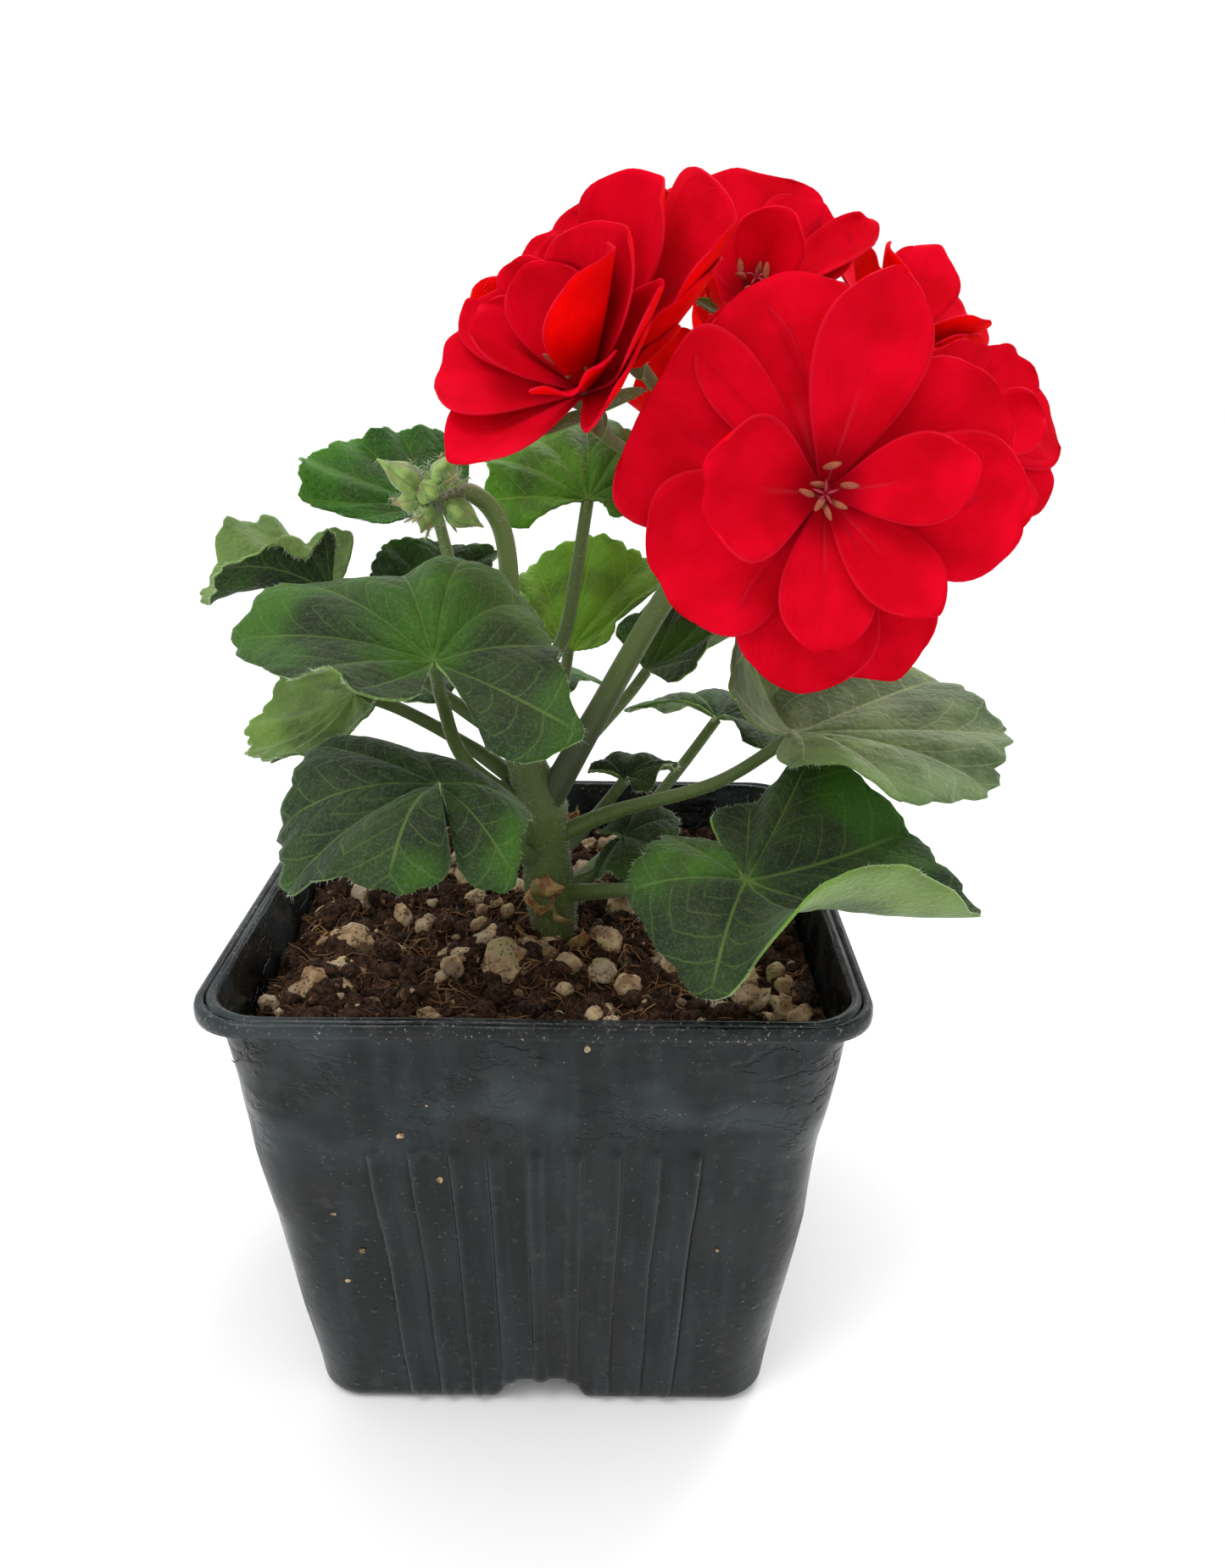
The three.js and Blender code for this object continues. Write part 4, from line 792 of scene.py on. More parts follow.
leaves = {  # each tip is a lobe's x, y and z, and how far its rib arches up
    "left_front": {
        "at": [-16, -25, 134],
        "stalk": [[-3, -7, 102], [-14, -8, 112], [-16.5, -14, 124]],
        "ruffle": 2.6,
        "tips": [
            [8, -40, 127.5, 1], [3, -22, 135, 2], [-1, -10, 141, 4], [-12, -4, 144, 7],
            [-25, -4, 144, 6], [-42, -8, 142, 4], [-50, -17, 135, 3], [-37, -33, 135, 1],
            [-25, -42, 133, 0],
        ],
    },
    "front_low": {
        "at": [-14.5, -34, 117],
        "stalk": [[-3, -9, 94], [-7, -18, 101], [-11, -28, 111]],
        "ruffle": 2,
        "tips": [
            [-2, -44, 106, 3], [-1, -31, 111, 3], [-22, -17, 118, 2], [-36, -22, 118, 2],
            [-40, -35, 112, 3], [-37, -44, 103, 4], [-20, -52, 108, 5],
        ],
    },
    "right_low": {
        "at": [32.5, -36, 102.5],
        "stalk": [[4, -7, 86], [14, -16, 91], [25, -30, 98]],
        "ruffle": 1.6,
        "tips": [
            [20, -26, 106, 1], [14, -38, 101, 2], [26, -54, 93, 2], [47, -53, 112, -6],
            [68, -42, 102, -3], [62, -20, 105, -1], [45, -14, 116, -1], [35, -17, 109, -1],
        ],
    },
    "right_high": {
        "at": [42, -15, 119.5],
        "stalk": [[2, -6, 97], [12, -7, 102], [30, -10, 109]],
        # Its top face is a greyer, paler copy: a painted sheen of glancing light
        "top": "painted_sheen_top",
        "ruffle": 2.4,
        "tips": [
            [42, -27, 119, 2], [56, -36, 115, 4], [73, -28, 116, 3], [78, -14, 118, 2], [71, 1, 127, 0],
            [34, 2, 136, -3], [30, -22, 131, -2],
        ],
    },
    "centre_top": {
        "at": [7, 8, 154.5],
        "stalk": [[-6, -1.5, 121], [2, 5, 129], [5, 7, 142]],
        "top": "young_top",
        "back": "young_back",
        "ruffle": 1.6,
        "tips": [
            [14, 7, 154, 1], [21, 16, 158, 2], [17, 25, 165, 3], [6, 28, 166, 3], [-5, 22, 165, 3],
            [-11, 12, 161, 2], [-11, 4, 155, 1],
        ],
    },
    "back_left": {
        "at": [-21, 17, 152],
        "stalk": [[-8, -1.5, 122], [-14, 6, 131], [-18, 13, 142]],
        "top": "shaded_top",
        "back": "shaded_top",
        "ruffle": 2.2,
        "tips": [
            [-15, 15, 152, 1], [-15, 24, 163, -1], [-20, 29, 166, -1], [-29, 31, 163, 1],
            [-37, 27, 165, -1], [-45, 19, 160, 0], [-44, 11, 154, 0], [-32, 8, 152, 0],
        ],
    },
    "left_back": {
        "at": [-38, 4, 138],
        "stalk": [[-6, -3.5, 114], [-18, 0, 121], [-31, 3, 131]],
        "ruffle": 2.4,
        "tips": [
            [-37, -3, 149, -3], [-45, -4, 149, -4], [-54, -7, 142, -3], [-60, 0, 140, -1],
            [-58, 9, 147, 0], [-51, 17, 150, 1], [-41, 17, 147, 1],
        ],
    },
    "left_low": {
        "at": [-32, -9, 124],
        "stalk": [[-6, -3, 107], [-14, -1, 112], [-25, -5, 120]],
        "tips": [
            [-29, -17, 121, 1], [-43, -20, 116, 2], [-50, -13, 113, 2], [-53, -6, 117, 2],
            [-47, 2, 123, 2], [-37, 3, 126, 1],
        ],
    },
    "behind_buds": {
        "at": [-22, 18, 137],
        "stalk": [[-6, -2, 118], [-14, 11, 124], [-20, 17, 131]],
        "tips": [
            [-12, 18, 137, 1], [-10, 23, 143, 1], [-20, 24, 145, 1], [-31, 23, 144, 1],
            [-34, 18, 140, 1], [-30, 13, 137, 1],
        ],
    },
    "young_back": {
        "at": [3, 22, 124],
        "stalk": [[-3.5, -3, 109], [-1, 8, 112], [2, 17, 118]],
        "top": "lit_top",
        "back": "lit_top",
        "ruffle": 1.6,
        "tips": [
            [12, 18, 131, -1], [21, 24, 137, -1], [18, 32, 142, 0], [8, 35, 144, 0], [-4, 31, 141, 0],
            [-8, 22, 136, -1], [-3, 16, 133, -1],
        ],
    },
    "back_right": {
        "at": [18, 19, 121],
        "stalk": [[-0.5, -4, 105.5], [9, 10, 112], [15, 17, 117]],
        "ruffle": 1.6,
        "tips": [
            [27, 8, 127, 0], [39, 11, 134, -1], [43, 20, 138, -2], [37, 29, 141, -2], [26, 34, 138, -1],
            [17, 32, 130, 0],
        ],
    },
    "small_dark": {
        "at": [14, 7, 103],
        "stalk": [[1.5, -4, 92], [7, 3, 95], [11, 6, 99]],
        "ruffle": 1,
        "tips": [
            [19, 2, 104, 1], [24, 6, 106, 1], [23, 11, 105, 2], [16, 14, 105, 2], [9, 12, 105, 2],
            [7, 7, 105, 1],
        ],
    },
    "small_front": {
        "at": [14, -4, 96],
        "stalk": [[3, -5.5, 86], [9, -4.5, 89], [12, -4, 93]],
        "tips": [
            [9, -8, 90, 1], [15, -14, 91, 2], [23, -10, 94, 2], [24, -2, 98, 2], [17, 5, 99, 1],
            [10, 2, 95, 1],
        ],
    },
    "rear_left": {
        "at": [-14, 36, 114],
        "stalk": [[-1.5, -4, 99], [-6, 12, 104], [-11, 27, 110]],
        "tips": [
            [3, 27, 114, 2], [10, 40, 112, 3], [2, 56, 110, 4], [-14, 61, 108, 4], [-31, 54, 110, 4],
            [-38, 39, 111, 3], [-31, 26, 113, 2],
        ],
    },
    "rear_right": {
        "at": [33, 30, 108],
        "stalk": [[2.5, -4.5, 84], [13, 9, 89], [26, 24, 100]],
        "tips": [
            [47, 16, 107, 2], [57, 29, 105, 3], [54, 44, 104, 4], [42, 54, 103, 4], [25, 53, 104, 4],
            [15, 42, 106, 3],
        ],
    },
}


def leaf_up(leaf):
    """The way a blade looks up, over all its lobes."""
    spread = np.array(leaf["tips"], float)[:, :3] - leaf["at"]
    up = np.cross(spread[:-1], spread[1:]).sum(0)
    return up / np.linalg.norm(up)


def spun(vectors, axis, degrees):
    """Vectors turned about an axis, each by its own angle."""
    turn = np.radians(degrees)[:, None]
    along_axis = np.outer(vectors @ axis, axis)
    return vectors * np.cos(turn) + np.cross(axis, vectors) * np.sin(turn) + along_axis * (1 - np.cos(turn))


def leaf_shape(leaf, place, share):
    """Points of a blade: place counts its ribs round it, share runs out from the petiole to the edge."""
    tips = np.array(leaf["tips"], float)
    last = len(tips) - 1
    up = leaf_up(leaf)
    inside = np.clip(place, 0, last)
    past = (place - inside) / NOTCH_SHARE
    reach = spun(through(tips[:, :3] - leaf["at"], inside), up, NOTCH_TURN * past)
    arch = through(tips[:, 3:], inside, 0)[:, 0]
    lobed = 1 - LOBE_DEPTH * (0.5 - 0.5 * np.cos(2 * math.pi * inside))
    # Scallops, each with a finer tooth on it, only at the edge
    tooth = TEETH * (place + NOTCH_SHARE) / (last + 2 * NOTCH_SHARE)
    scallop = 1 - np.abs(np.sin(math.pi * tooth)) ** 0.7
    scallop = scallop + 0.22 * np.sin(math.pi * 3 * tooth + 1.1 * np.sin(5 * place)) ** 2
    edge = 1 - TOOTH_DEPTH * scallop * np.clip((share - TOOTH_START) / (1 - TOOTH_START), 0, 1) ** 1.5
    length = share * edge * lobed * (1 - 0.3 * past**2)
    lift = arch * 4 * share * (1 - share)
    ruffle = leaf.get("ruffle", 1.3) * np.sin(place * 2.6) * share**3
    pleat = PLEAT * np.cos(2 * math.pi * inside) * share * (1 - past**2)
    # Ribs and side veins are sunk, and the blade swells between them
    off_rib = place - np.clip(np.round(place), 0, last)
    spacing = np.linalg.norm(np.diff(tips[:, :3], axis=0), axis=1).mean()
    rib = np.exp(-((off_rib * spacing * share / RIB_WIDTH) ** 2))
    rib = rib * (1.1 - share) * np.clip(share / 0.1, 0, 1)
    side = SIDE_VEINS * share - SIDE_SLANT * np.abs(off_rib)
    swell = np.sin(math.pi * side) ** 2 * np.clip(share / 0.3, 0, 1) * np.clip(np.abs(off_rib) / 0.12, 0, 1)
    flutter = EDGE_FLUTTER * np.sin(place * 7.3 + last) * share**6
    relief = SWELL_HEIGHT * swell - RIB_DEPTH * rib + flutter
    lifted = (lift + ruffle - pleat + relief)[:, None] * up
    return np.array(leaf["at"]) + reach * length[:, None] + lifted


def own_chart(place):
    """The piece's own UV map."""
    return place.node("ShaderNodeUVMap", {"uv_map": "UVMap"}, out="UV")


def leaf_finish(name, dark, light, bright, rib, sheen):
    """A blade's face: mottled green with patches of painted light through it, a darker zone, pale veins,
    and down.
    """
    material, shader, place = new_finish(
        name,
        Roughness=0.62,
        Subsurface_Weight=0.45,
        Subsurface_Scale=0.0012,
        Subsurface_Radius=(0.45, 1, 0.05),
        Sheen_Weight=sheen,
        Sheen_Roughness=0.4,
        Sheen_Tint=paint(206, 222, 206),
        Specular_IOR_Level=0.18,
    )
    chart = own_chart(place)
    round_leaf, share = axis(chart, "X"), axis(chart, "Y")
    off_rib = abs(round_leaf.maths("FRACT", round_leaf + 0.5) - 0.5)
    wobble = (mottle(place, 3, 3) - 0.5) * 0.9
    rib_gap = off_rib * share * 22 + wobble * 0.35
    side = share * SIDE_VEINS - off_rib * SIDE_SLANT + wobble * 0.25
    side_gap = abs(side.maths("FRACT", side + 0.5) - 0.5) * 5.5
    rib_line = (1 - between(rib_gap, 0.15, 0.55)) * (1 - between(share, 0.75, 1))
    side_line = (1 - between(side_gap, 0.08, 0.35)) * between(share, 0.12, 0.3) * 0.55
    net = (1 - between(cells(place, 1.8, "DISTANCE_TO_EDGE"), 0.02, 0.12)) * 0.1
    vein = rib_line.maths("MAXIMUM", rib_line, side_line.maths("MAXIMUM", side_line, net))
    tone = patches(place, 9, 4, 0.35, 0.65)
    blade_colour = mixed(tone, dark, light)
    # Painted light: patches of the bright green stand in for light shining through the blade
    painted_glow = patches(place, 26, 2, 0.44, 0.64) * 0.75
    blade_colour = mixed(painted_glow, blade_colour, bright)
    zone = 1 - between(abs(share - 0.6 + wobble * 0.06), 0.03, 0.16)
    blade_colour = mixed(zone * 0.35, blade_colour, paint(40, 44, 24))
    velvet = patches(place, 0.4, 2, 0.45, 0.7) * 0.08
    blade_colour = mixed(velvet, blade_colour, paint(150, 168, 150))
    mixed(vein * 0.6, blade_colour, rib).into(shader, "Base Color")
    pucker = cells(place, 1.5, "DISTANCE_TO_EDGE")
    down = mottle(place, 0.25, 2)
    emboss(between(pucker, 0, 0.4) * 0.6 + down * 0.4 - rib_line * 0.4, 0.22, shader, 0.8)
    return material


greens = {  # dark, light, bright (painted light through the blade) and rib, and the down's sheen
    "leaf_top": ((18, 35, 10), (36, 58, 19), (58, 102, 14), (92, 120, 52), 0.18),
    "leaf_back": ((84, 106, 52), (108, 132, 70), (112, 142, 58), (96, 128, 46), 0.4),
    "young_top": ((46, 92, 12), (72, 122, 22), (92, 152, 24), (122, 160, 60), 0.12),
    "young_back": ((52, 92, 16), (72, 114, 26), (84, 134, 26), (112, 150, 54), 0.15),
    "shaded_top": ((24, 64, 2), (42, 88, 6), (58, 112, 6), (92, 126, 34), 0.04),
    "lit_top": ((92, 132, 36), (118, 158, 50), (132, 178, 54), (152, 186, 84), 0.2),
    # A greyer, paler copy of the top face: painted sheen of light glancing off the blade
    "painted_sheen_top": ((68, 88, 52), (108, 128, 86), (112, 144, 80), (148, 164, 116), 0.34),
}
finishes = {
    name: leaf_finish(name, *(paint(*tint) for tint in tints), sheen)
    for name, (*tints, sheen) in greens.items()
}

RIB_STEPS = 16
BLADE_ROWS = 25
PETIOLE_RADII = [1.75, 1.25, 1.15, 1.1]
PETIOLE_HAIRS = 420
PETIOLE_HAIR_LENGTH = 0.8
MARGIN_HAIRS = 420

draw = np.random.default_rng(12)
margins = []
for name, leaf in leaves.items():
    last = len(leaf["tips"]) - 1
    around = last + 2 * NOTCH_SHARE

    def blade_shape(u, v):
        return leaf_shape(leaf, last + NOTCH_SHARE - around * u, v)

    blade = skin(f"{name}_leaf", round(around * RIB_STEPS), BLADE_ROWS, blade_shape)
    chart = blade.data.uv_layers["UVMap"].data
    corners = np.empty((len(chart), 2), np.float32)
    chart.foreach_get("uv", corners.ravel())
    corners[:, 0] = last + NOTCH_SHARE - around * corners[:, 0]
    chart.foreach_set("uv", corners.ravel())
    for material in (leaf.get("top", "leaf_top"), leaf.get("back", "leaf_back")):
        blade.data.materials.append(finishes[material])
    blade.data.materials.append(stem_green)
    thicken(blade, LEAF_THICKNESS, under=1)
    top = np.array(leaf["at"]) - 0.3 * leaf_up(leaf)
    petiole = tube("petiole", [*leaf["stalk"], top], PETIOLE_RADII, 12, 30)
    petiole.data.materials.append(stem_green)
    margins.append(fur(petiole, PETIOLE_HAIRS, PETIOLE_HAIR_LENGTH, draw))
    join(blade, petiole)
    settle(blade, "leaf_green")
    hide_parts(f"leaf_{name}")
    place = draw.uniform(-NOTCH_SHARE, last + NOTCH_SHARE, MARGIN_HAIRS)
    roots = leaf_shape(leaf, place, np.full(MARGIN_HAIRS, 0.992))
    outward = roots - leaf_shape(leaf, place, np.full(MARGIN_HAIRS, 0.95))
    outward /= np.linalg.norm(outward, axis=1, keepdims=True)
    outward += 0.45 * draw.normal(size=outward.shape)
    tips = roots + outward * draw.uniform(0.35, 0.95, (MARGIN_HAIRS, 1))
    margins.append(bristles(roots, tips))
fused("leaf_hairs", margins, "leaf_green", hair_white)

# The open flower head: eight semi-double red flowers. Each has a wide ring of petals and a steeper
# inner ring. A petal is narrow at its claw and notched at its tip, velvety with fine radial veins.

PRESS_DEPTH = 4
PRESS_GAP = 0.6
PETAL_THICKNESS = 0.35
PETAL_COLUMNS = 14
PETAL_ROWS = 20
CURL_STEPS = 8
WIDEST = 0.74  # the share of its length where a petal is widest
CLAW_SHARE = 0.09  # of its width, at the claw
NOTCH_DEPTH = 0.035
FOLD_HEIGHT = 0.3
FLUTTER_HEIGHT = 0.55
CREASE_DEPTH = 0.45
EYE_RADIUS = 1.5

florets = {  # each petal is its turn, length, width, rise, curl, cup and roll
    "front": {
        "at": [41, -33, 161],
        "face": [-0.12, -0.98, 0.12],
        "reach": 30,
        "petals": [
            [-20, 30, 24, 8, -10, 0.2, 0], [15, 30, 16, 20, -15, 0.4, -20],
            [-42, 32, 20, 2, -5, 0.2, 0], [-68, 33, 28, 8, -5, 0.2, 0], [-120, 27, 24, 12, 5, 0.2, 0],
            [184, 28, 20, 10, -5, 0.25, 0], [155, 28, 18, 2, -5, 0.2, 0], [94, 28, 20, 10, -5, 0.2, 0],
            [62, 27, 20, 5, -5, 0.2, 0], [-88, 21, 19, 32, 10, 0.5, 0], [176, 24, 13, 26, 0, 0.3, 0],
            [134, 24, 12, 24, 0, 0.3, 25], [80, 23, 12, 30, 5, 0.3, 0],
        ],
    },
    "left": {
        "at": [7.5, -26, 174],
        "face": [-0.35, -0.58, 0.73],
        "reach": 21,
        "keeps": 0.2,
        "petals": [
            [-100, 22, 21, 26, -10, 0.2, 0], [-148, 22, 16, 18, -10, 0.2, 0],
            [-55, 23, 20, 28, 0, 0.2, 0], [-12, 24, 20, 38, 0, 0.3, 0], [30, 25, 19, 50, 5, 0.3, 0],
            [140, 17, 13, 45, -10, 0.3, 0], [106, 19, 19, 16, 0, 0.2, 0], [62, 22, 19, 26, 0, 0.25, 0],
            [78, 24, 16, 60, 5, 0.4, 20], [-88, 19, 12, 46, 0, 0.35, 0], [-30, 19, 13, 58, 5, 0.4, 0],
        ],
    },
    "upper_left": {
        "at": [12.5, -15, 182],
        "face": [-0.4, -0.68, 0.62],
        "reach": 26,
        "keeps": 0.32,
        "petals": [
            [68, 27, 26, 26, 5, 0.25, 0], [108, 25, 21, 22, 0, 0.2, 0], [150, 22, 22, 12, 0, 0.2, 0],
            [24, 22, 18, 44, 0, 0.5, 0], [-8, 21, 22, 24, 0, 0.2, 0], [-50, 20, 19, 26, -5, 0.25, 0],
            [-95, 19, 17, 30, 0, 0.25, 0], [-62, 17, 11, 54, 5, 0.35, -15], [0, 15, 10, 60, 0, 0.4, 20],
        ],
    },
    "top": {
        "at": [32, -6, 186],
        "face": [0.1, -0.76, 0.64],
        "reach": 22,
        "keeps": 0.32,
        "petals": [
            [-4, 20, 25, 22, 0, 0.2, 0], [50, 19, 17, 22, 0, 0.3, 0], [74, 23, 12, 26, 5, 0.5, 25],
            [-62, 21, 20, 28, 0, 0.2, 0], [130, 18, 17, 22, -10, 0.2, 0],
            [185, 17, 17, 24, -10, 0.2, 0], [-115, 19, 17, 30, 0, 0.25, 0], [30, 15, 11, 62, 0, 0.4, 0],
        ],
    },
    "upper_right": {
        "at": [56, 6, 180],
        "face": [0.5, -0.35, 0.8],
        "reach": 23,
        "rule": (12, 20, 22),
    },
    "right": {
        "at": [65, -6, 166.5],
        "face": [0.35, -0.78, 0.5],
        "reach": 22,
        "keeps": 0.3,
        "petals": [
            [82, 22, 18, 4, -5, 0.15, 0], [124, 20, 15, 4, -5, 0.15, 0], [40, 19, 17, 16, 0, 0.2, 0],
            [-10, 19, 17, 20, 0, 0.2, 0], [168, 19, 16, 12, 0, 0.2, 0], [215, 19, 17, 18, 0, 0.2, 0],
            [-80, 18, 16, 28, 0, 0.2, 0], [100, 15, 11, 40, 0, 0.35, 0],
        ],
    },
    "rear_left": {
        "at": [12, 8, 184],
        "face": [-0.45, 0.15, 0.88],
        "reach": 25,
        "rule": (24, 30, 28),
    },
    "rear": {
        "at": [37, 22, 174],
        "face": [0.1, 0.85, 0.5],
        "reach": 28,
        "rule": (21, 15, 14),
    },
}


def seeded(state):
    """Endless numbers from 0 to 1, the same ones for the same seed."""
    while True:
        state = (state * 1664525 + 1013904223) % 2**32
        yield state / 2**32


def ruled_petals(reach, rule):
    """Petals of a flower that isn't set by hand, from its seed, its spin and its slope."""
    seed, spin, slope = rule
    chance = seeded(seed)
    petals = []
    for count, size, lean, shift in ((5, reach, slope, 0), (3, 0.78 * reach, slope + 28, 36)):
        for i in range(count):
            turn = spin + shift + 360 * i / count + 16 * (next(chance) - 0.5)
            length = size * (0.9 + 0.18 * next(chance))
            width = size * (0.7 + 0.15 * next(chance))
            rise = lean + 16 * (next(chance) - 0.5)
            curl = -25 + 35 * next(chance)
            cup = 0.12 + 0.28 * next(chance)
            petals.append([turn, length, width, rise, curl, cup, 24 * (next(chance) - 0.5)])
    return petals


def flower_axes(face):
    """The way a flower faces, its top and its right."""
    out = np.array(face, float) / np.linalg.norm(face)
    top = np.array([0, 0, 1]) - out * out[2]
    top /= np.linalg.norm(top)
    return out, top, np.cross(top, out)


def spoke(top, right, turn):
    """The way out from a flower's middle at an angle from its top."""
    return math.cos(turn) * top + math.sin(turn) * right


def pressed(points, flower):
    """Petals bend to run along the plane between their flower and the next."""
    own = np.array(flower["at"], float)
    for other in florets.values():
        if other is flower:
            continue
        to_next = np.array(other["at"]) - own
        distance = np.linalg.norm(to_next)
        to_next /= distance
        kept = flower["reach"] / (flower["reach"] + other["reach"])
        if other is florets["front"]:
            kept = flower.get("keeps", kept)
        if flower is florets["front"]:
            kept = 1 - other.get("keeps", 1 - kept)
        limit = distance * kept - PRESS_GAP
        past = (points - own) @ to_next - (limit - PRESS_DEPTH)
        moved = np.where(past > 0, PRESS_DEPTH * (1 - np.exp(-np.maximum(past, 0) / PRESS_DEPTH)) - past, 0)
        points = points + np.outer(moved, to_next)
    return points


def petal_shape(flower, part, share, across):
    """Points of a petal: share runs from its claw to its tip, across from edge to edge."""
    degrees, length, width, rise_angle, curl, cup, roll = part
    out, top, right = flower_axes(flower["face"])
    heading = spoke(top, right, math.radians(degrees))
    sideways = np.cross(heading, out)
    notch = NOTCH_DEPTH * math.cos(degrees) * np.exp(-((across / 0.3) ** 2)) * share**6
    reach = share * (1 - 0.1 * across**2 * share - notch)
    ahead, rise = np.zeros_like(share), np.zeros_like(share)
    for step in range(CURL_STEPS):
        slope = np.radians(rise_angle + curl * (reach * (step + 0.5) / CURL_STEPS) ** 1.5)
        ahead += np.cos(slope) * length * reach / CURL_STEPS
        rise += np.sin(slope) * length * reach / CURL_STEPS
    swell = np.sin(math.pi / 2 * np.minimum(1, share / WIDEST)) ** 1.25
    close = np.sqrt(1 - (np.maximum(share - WIDEST, 0) / 0.34) ** 2)
    half = width / 2 * (CLAW_SHARE + (1 - CLAW_SHARE) * swell) * close
    tilt = math.radians(roll)
    bend = cup * half * across**2 + half * across * math.sin(tilt)
    # Shallow folds fan out from the claw, and the edge flutters
    phase = degrees * 0.7
    fold = FOLD_HEIGHT * np.sin(across * 5 + phase) * share**2
    flutter = FLUTTER_HEIGHT * np.sin(across * 4 + phase * 1.7) * share**5
    crease = -CREASE_DEPTH * np.exp(-((across / 0.12) ** 2)) * np.sin(3.14 * share) ** 1.5
    lift = bend + fold + flutter + crease
    normal = np.outer(-np.sin(slope), heading) + np.outer(np.cos(slope), out)
    points = np.array(flower["at"]) + np.outer(ahead, heading) + np.outer(rise, out)
    points = points + np.outer(half * across * math.cos(tilt), sideways) + lift[:, None] * normal
    return pressed(points, flower)


def petal_finish(name, body, shade, edge):
    """A petal's face: body colour with fine veins, painted shade towards the claw, with a pale streak."""
    material, shader, place = new_finish(
        name,
        Roughness=0.7,
        Subsurface_Weight=0.2,
        Subsurface_Scale=0.001,
        Subsurface_Radius=(1, 0.04, 0.03),
        Specular_IOR_Level=0.02,
    )
    chart = own_chart(place)
    across, share = axis(chart, "X"), axis(chart, "Y")
    fan = place.node("ShaderNodeMapping", None, {"Vector": chart, "Scale": (26, 2, 1)})
    fine = place.node("ShaderNodeTexNoise", None, {"Vector": fan, "Scale": 1.6, "Detail": 3})
    petal_colour = mixed(patches(place, 8, 2, 0.3, 0.7), body, shade)
    petal_colour = mixed(between(fine, 0.5, 0.75) * 0.45, petal_colour, shade)
    # Painted shade: darker towards the claw, where the flower's middle lies in shade
    petal_colour = mixed((1 - between(share, 0, 0.42)) * 0.7, petal_colour, paint(124, 0, 16))
    middle = 1 - between(abs(across - 0.5), 0.01, 0.045)
    streak = middle * between(share, 0.12, 0.24) * (1 - between(share, 0.3, 0.55))
    petal_colour = mixed(streak * 0.03, petal_colour, paint(246, 150, 160))
    rim = between(abs(across - 0.5) * 2, 0.95, 1) * 0.2
    mixed(rim, petal_colour, edge).into(shader, "Base Color")
    emboss(fine * 0.7 + 0.3 * mottle(place, 0.35, 2), 0.14, shader)
    return material


petal_face = petal_finish("petal_face", paint(242, 0, 2), paint(204, 0, 4), paint(196, 4, 30))
petal_reverse = petal_finish("petal_reverse", paint(214, 2, 34), paint(190, 0, 22), paint(206, 40, 70))
eye_red, shader, place = new_finish("eye_red", Roughness=0.6)
mixed(mottle(place, 1, 2), paint(96, 4, 16), paint(140, 14, 26)).into(shader, "Base Color")

for name, flower in florets.items():
    pieces = []
    for part in flower.get("petals") or ruled_petals(flower["reach"], flower["rule"]):

        def one_petal(u, v):
            return petal_shape(flower, part, v, 1 - 2 * u)

        blade = skin(f"{name}_floret", PETAL_COLUMNS, PETAL_ROWS, one_petal)
        for material in (petal_face, petal_reverse):
            blade.data.materials.append(material)
        pieces.append(thicken(blade, PETAL_THICKNESS, under=1))
    deselect()
    ball_size = {"radius": EYE_RADIUS * MM, "location": Vector(flower["at"]) * MM}
    bpy.ops.mesh.primitive_uv_sphere_add(segments=16, ring_count=10, **ball_size)
    bpy.ops.object.transform_apply(location=True)
    bpy.ops.object.shade_smooth()
    eye = bpy.context.object
    eye.data.materials.append(eye_red)
    bloom = join(*pieces, eye)
    bloom.name = bloom.data.name = f"{name}_floret"
    settle(bloom, "petal_red")
    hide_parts(f"floret_{name}")

# One more flower hangs under the others half open, its petals still rolled round each other.

BUD_TOP = [36.5, -16, 142]
BUD_FACE = [0.35, -0.1, -1]
OPENING = [(0.4, 1.4), (3, 3.4), (7, 4.2), (10.5, 2.8), (12, 0.8)]  # depth and radius
ROLLED_PETALS = 5
ROLLED_LENGTH = 11.6
ROLL_SHARE = 0.42  # of the way round that one petal takes up

out, top, right = flower_axes(BUD_FACE)
rolled = []
for i in range(ROLLED_PETALS):

    def rolled_petal(u, v):
        depth = OPENING[0][0] + ROLLED_LENGTH * v * (1 - 0.12 * (2 * u - 1) ** 2)
        radius = np.interp(depth, *np.transpose(OPENING))
        radius = radius * (0.86 + 0.22 * u) + 0.15 * np.sin(9 * u + i) * v
        turn = 2 * math.pi * (i / ROLLED_PETALS + ROLL_SHARE * u + 0.08 * v)
        ring = np.outer(radius * np.cos(turn), top) + np.outer(radius * np.sin(turn), right)
        return np.array(BUD_TOP) + np.outer(depth, out) + ring

    blade = skin(f"rolled_petal_{i}", 12, 16, rolled_petal)
    blade.data.materials.append(petal_reverse)
    rolled.append(thicken(blade, PETAL_THICKNESS))
opening = join(*rolled)
opening.name = opening.data.name = "opening_floret"
settle(opening, "petal_red")
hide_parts("floret_opening")

# Stamens stand in each open flower: orange-brown anthers that lie across dark red filaments, round
# a style with five curled lobes.

STAMENS = 7
FILAMENT = 4.6
FILAMENT_RADII = [0.34, 0.26, 0.18]
ANTHER_HALF = 1.4
ANTHER_RADII = [0.14, 0.34, 0.42, 0.36, 0.14]
STYLE_RADII = [0.5, 0.42, 0.4]
STYLE_LOBES = 5
LOBE_RADII = [0.3, 0.26, 0.14]

anther_brown, shader, place = new_finish("anther_brown", Roughness=0.85)
mixed(mottle(place, 0.5, 3), paint(108, 44, 32), paint(180, 98, 64)).into(shader, "Base Color")
emboss(mottle(place, 0.2, 2), 0.15, shader)
filament_red, shader, place = new_finish("filament_red", Roughness=0.4)
mixed(mottle(place, 1.5, 2), paint(110, 4, 26), paint(160, 18, 40)).into(shader, "Base Color")

